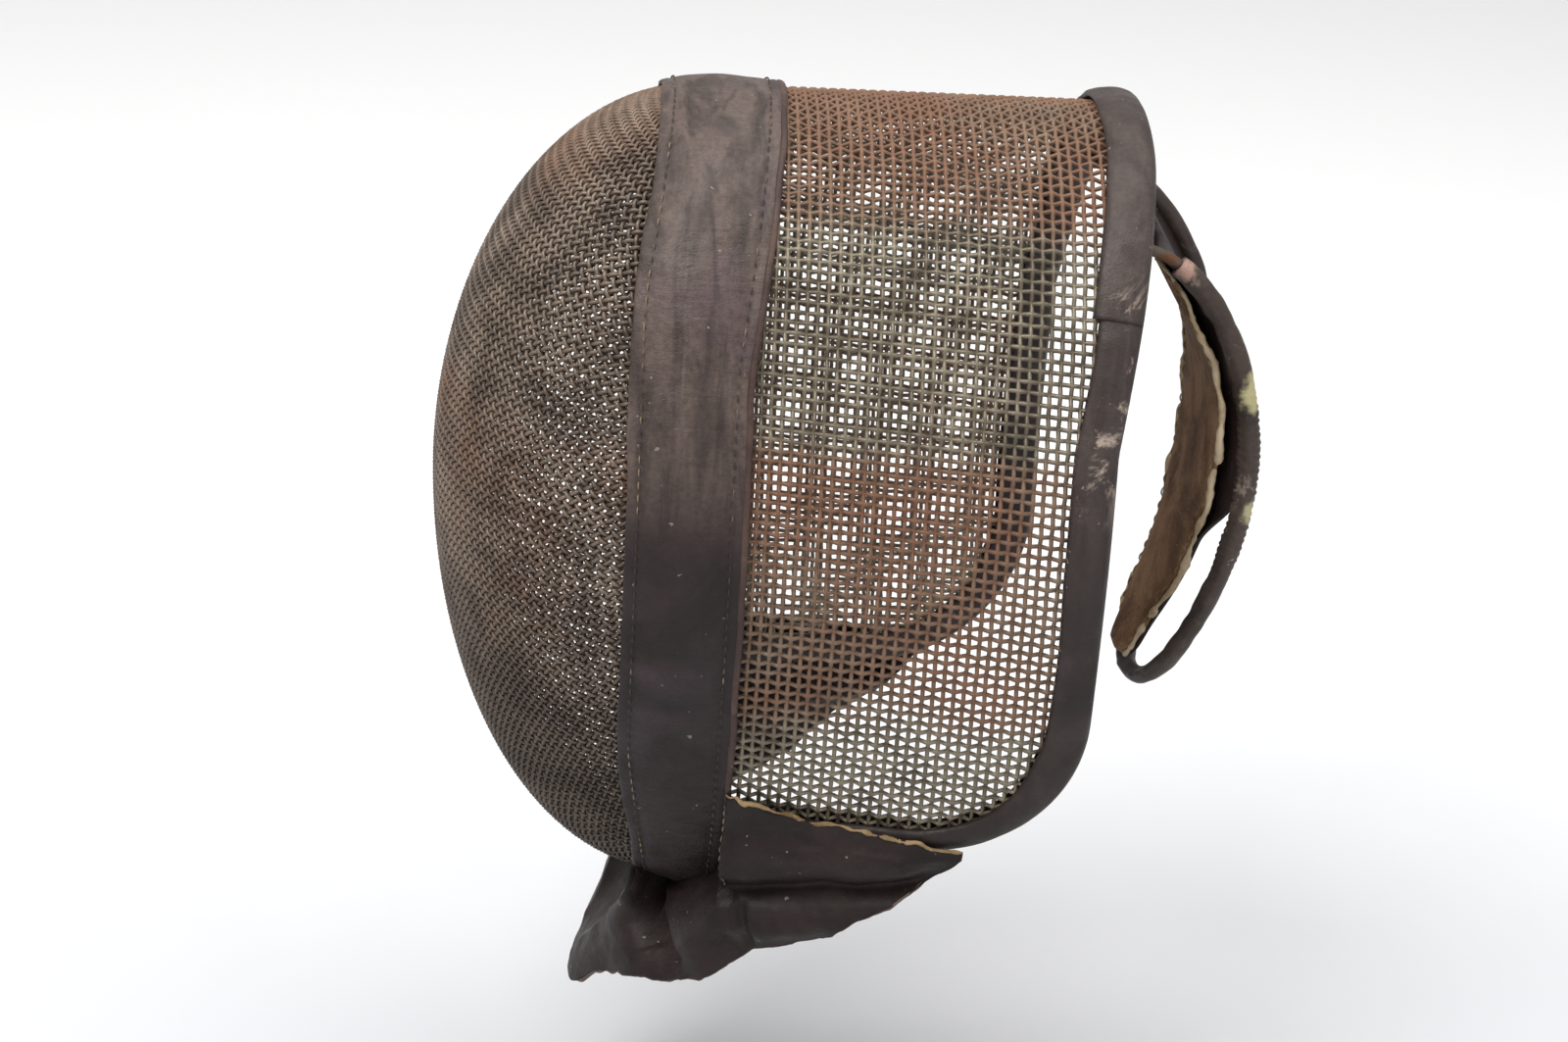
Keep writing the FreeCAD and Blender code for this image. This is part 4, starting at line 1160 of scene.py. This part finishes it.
def tongue_pad():
    """Suede face over a leather back that wraps the spring's legs in its upper half."""
    y, z = PAD_SIDE.T
    forward = unit(np.stack([np.gradient(z), -np.gradient(y)], axis=1))
    forward *= np.where(forward[:, :1] > 0, -1, 1)
    toward_head = np.concatenate([np.zeros((len(y), 1)), forward], axis=1)
    s = np.linspace(-1, 1, 75)
    s = np.sign(s) * (1 - (1 - np.abs(s)) ** 1.25)
    side_share = np.abs(s)
    along = np.arange(len(y)) * PAD_STEP

    def layer(offset, wavy=.0021, seed=71):
        """A sheet of the pad with wavy sides, offset towards the head."""
        edges = np.where(s < 0, wave(along, .011, seed)[:, None],
                         wave(along, .012, seed + 1)[:, None])
        x = s * (pad_half(z)[:, None] + wavy * edges * ramp(side_share, .6, 1))
        middle = np.stack(np.broadcast_arrays(x, y[:, None], z[:, None]), axis=-1)
        return middle + toward_head[:, None, :] * np.asarray(offset)[..., None]

    plain = layer(0, .0014)
    curl = .0010 * ramp(side_share, .9, 1) * noise(plain, .013, 73)
    puff = .0020 * (1 - side_share ** 5) * (1 + .10 * noise(plain, .020, 74)) + curl
    face = closed_sheet("tongue_suede_face", layer(.0009 + puff), layer(.0001 + curl * .8))
    outfit(face, SUEDE, "suede", "tongue", "tongue_pad_face")

    leg = SPRING[(SPRING[:, 0] > 0) & (SPRING[:, 2] < .0975)]
    leg_x, leg_y = looked_up(-z, -leg[:, 2], leg[:, :2]).T
    outer, inner = (layer(offset, .0005, 81) for offset in (-.0001, -.0016))
    wrap = ramp(side_share, .70, 1) * ramp(z, -.014, .010)[:, None]
    edge = np.where(s < 0, 0, len(s) - 1)
    for grid, reach in ((outer, .0040), (inner, .0026)):
        to_leg_x = (leg_x + .0006)[:, None] * np.sign(s) - grid[:, edge, 0]
        to_leg_y = (leg_y - reach)[:, None] - grid[:, edge, 1]
        grid[..., 0] += to_leg_x * wrap
        grid[..., 1] += to_leg_y * wrap
        grid[..., 1] += noise(grid, .016, 83) * .0005
    bulge = .0017 * ramp(1 - side_share, 0, .35) * (1 + .35 * noise(outer, .017, 84))
    bulge = bulge - .0012 * (bump_at(s, PAD_SEWN, .022) + bump_at(s, -PAD_SEWN, .022))
    bulge = bulge + noise(inner, [.012, .02, .030], 85) * .0004
    inner -= toward_head[:, None, :] * (bulge * (1 - wrap))[..., None]
    back = closed_sheet("tongue_leather_back", outer, inner)
    outfit(back, BIB_LEATHER, "leather", "tongue", "tongue_pad_back")

    for side, share in (("left", PAD_SEWN), ("right", -PAD_SEWN)):
        line = evenly(inner[5:-5, np.argmin(np.abs(s - share))], .0046)
        stitches(f"tongue_back_stitches_{side}", line, [0, 1, 0], .0032, .00034, "tongue")
    rim, sewn = layer(.0006 + curl), layer(.0010 + puff)
    for side, column, seam in (("left", -1, -4), ("right", 0, 3)):
        raw_edge(f"tongue_raw_edge_{side}", rim[2:-1, column], toward_head[2:-1], .00105,
                 "tongue", 91, "suede", PALE_EDGE)
        stitches(f"tongue_stitches_{side}", evenly(sewn[4:-3, seam], .0050), [0, -1, 0], .0034,
                 .00034, "tongue", RAW_EDGE_LEATHER)


sleeve()
tongue_pad()

# ---- steel, camera, light and floor

FLOOR_Z, FLOOR_HALF = -.262, 9
CAMERA_PLACE = (1.0697, -.1023, .4096)
CAMERA_YAW, CAMERA_TILT, CAMERA_ROLL = 3.21, 22.01, 3.28  # degrees
CAMERA_LENS, SENSOR = 75.6, 36  # mm


def placed(data, spot, axes):
    """An object at a spot, turned so that its x, y and z lie along the axes."""
    made = bpy.data.objects.new(data.name, data)
    made.matrix_world = Matrix.Translation(spot) @ (
        Matrix(np.column_stack(axes).tolist()).to_4x4())
    bpy.context.scene.collection.objects.link(made)
    return made


def floor():
    corners = [(-1, -1), (1, -1), (1, 1), (-1, 1)]
    made = mesh_object("floor", [(x * FLOOR_HALF, y * FLOOR_HALF, FLOOR_Z) for x, y in corners],
                       [[(0, 1, 2, 3)]])
    s = Shader("pale_floor", roughness=.8)
    near = s.mix(s.spread(s.noise(3.2, 4, .55), .3, .75), (.60, .615, .645), (.655, .665, .69))
    # Painted light: the floor is coloured lighter far behind the mask, where more light falls.
    body = s.mix(s.spread(s.axis("X"), .15, -1.1), near, (.86, .87, .88))
    dress(made, s.finished(body))


def camera():
    yaw, tilt, roll = (math.radians(turn) for turn in (CAMERA_YAW, CAMERA_TILT, CAMERA_ROLL))
    back = np.array([math.cos(yaw) * math.cos(tilt), -math.sin(yaw) * math.cos(tilt),
                     math.sin(tilt)])
    right = unit(np.cross([0, 0, 1], back))
    up = np.cross(back, right)
    across = right * math.cos(roll) + up * math.sin(roll)
    upward = -right * math.sin(roll) + up * math.cos(roll)
    lens = bpy.data.cameras.new("camera")
    lens.lens, lens.sensor_width, lens.clip_start = CAMERA_LENS, SENSOR, .05
    bpy.context.scene.camera = placed(lens, CAMERA_PLACE, (across, upward, back))


def area_light(name, spot, size, power, colour=(1, 1, 1)):
    """A round lamp that faces the mask."""
    light = bpy.data.lights.new(name, "AREA")
    light.shape, light.size, light.energy, light.color = "DISK", size, power, colour
    away = unit(np.array(spot, float))
    side = unit(np.cross([0, .2, 1], away))
    placed(light, spot, (side, np.cross(away, side), away))


def world():
    made = bpy.data.worlds.new("world")
    made.use_nodes = True
    background = made.node_tree.nodes["Background"]
    background.inputs["Color"].default_value = (.99, .985, .98, 1)
    background.inputs["Strength"].default_value = .62
    bpy.context.scene.world = made
    bpy.context.scene.view_settings.view_transform = "Standard"


for name in ("hoop_wire", "rear_rim_bar", "tongue_spring_wire", "tongue_staple_left",
             "tongue_staple_right"):
    dress(NODES[name], STEEL)
floor()
camera()
area_light("key", (.9, -.9, 1.9), 1.3, 40, (1, .98, .95))
area_light("top", (-.2, .3, 2.2), 2.0, 32, (1, .985, .96))
area_light("fill", (1.6, 1.4, .9), 1.4, 7)
world()
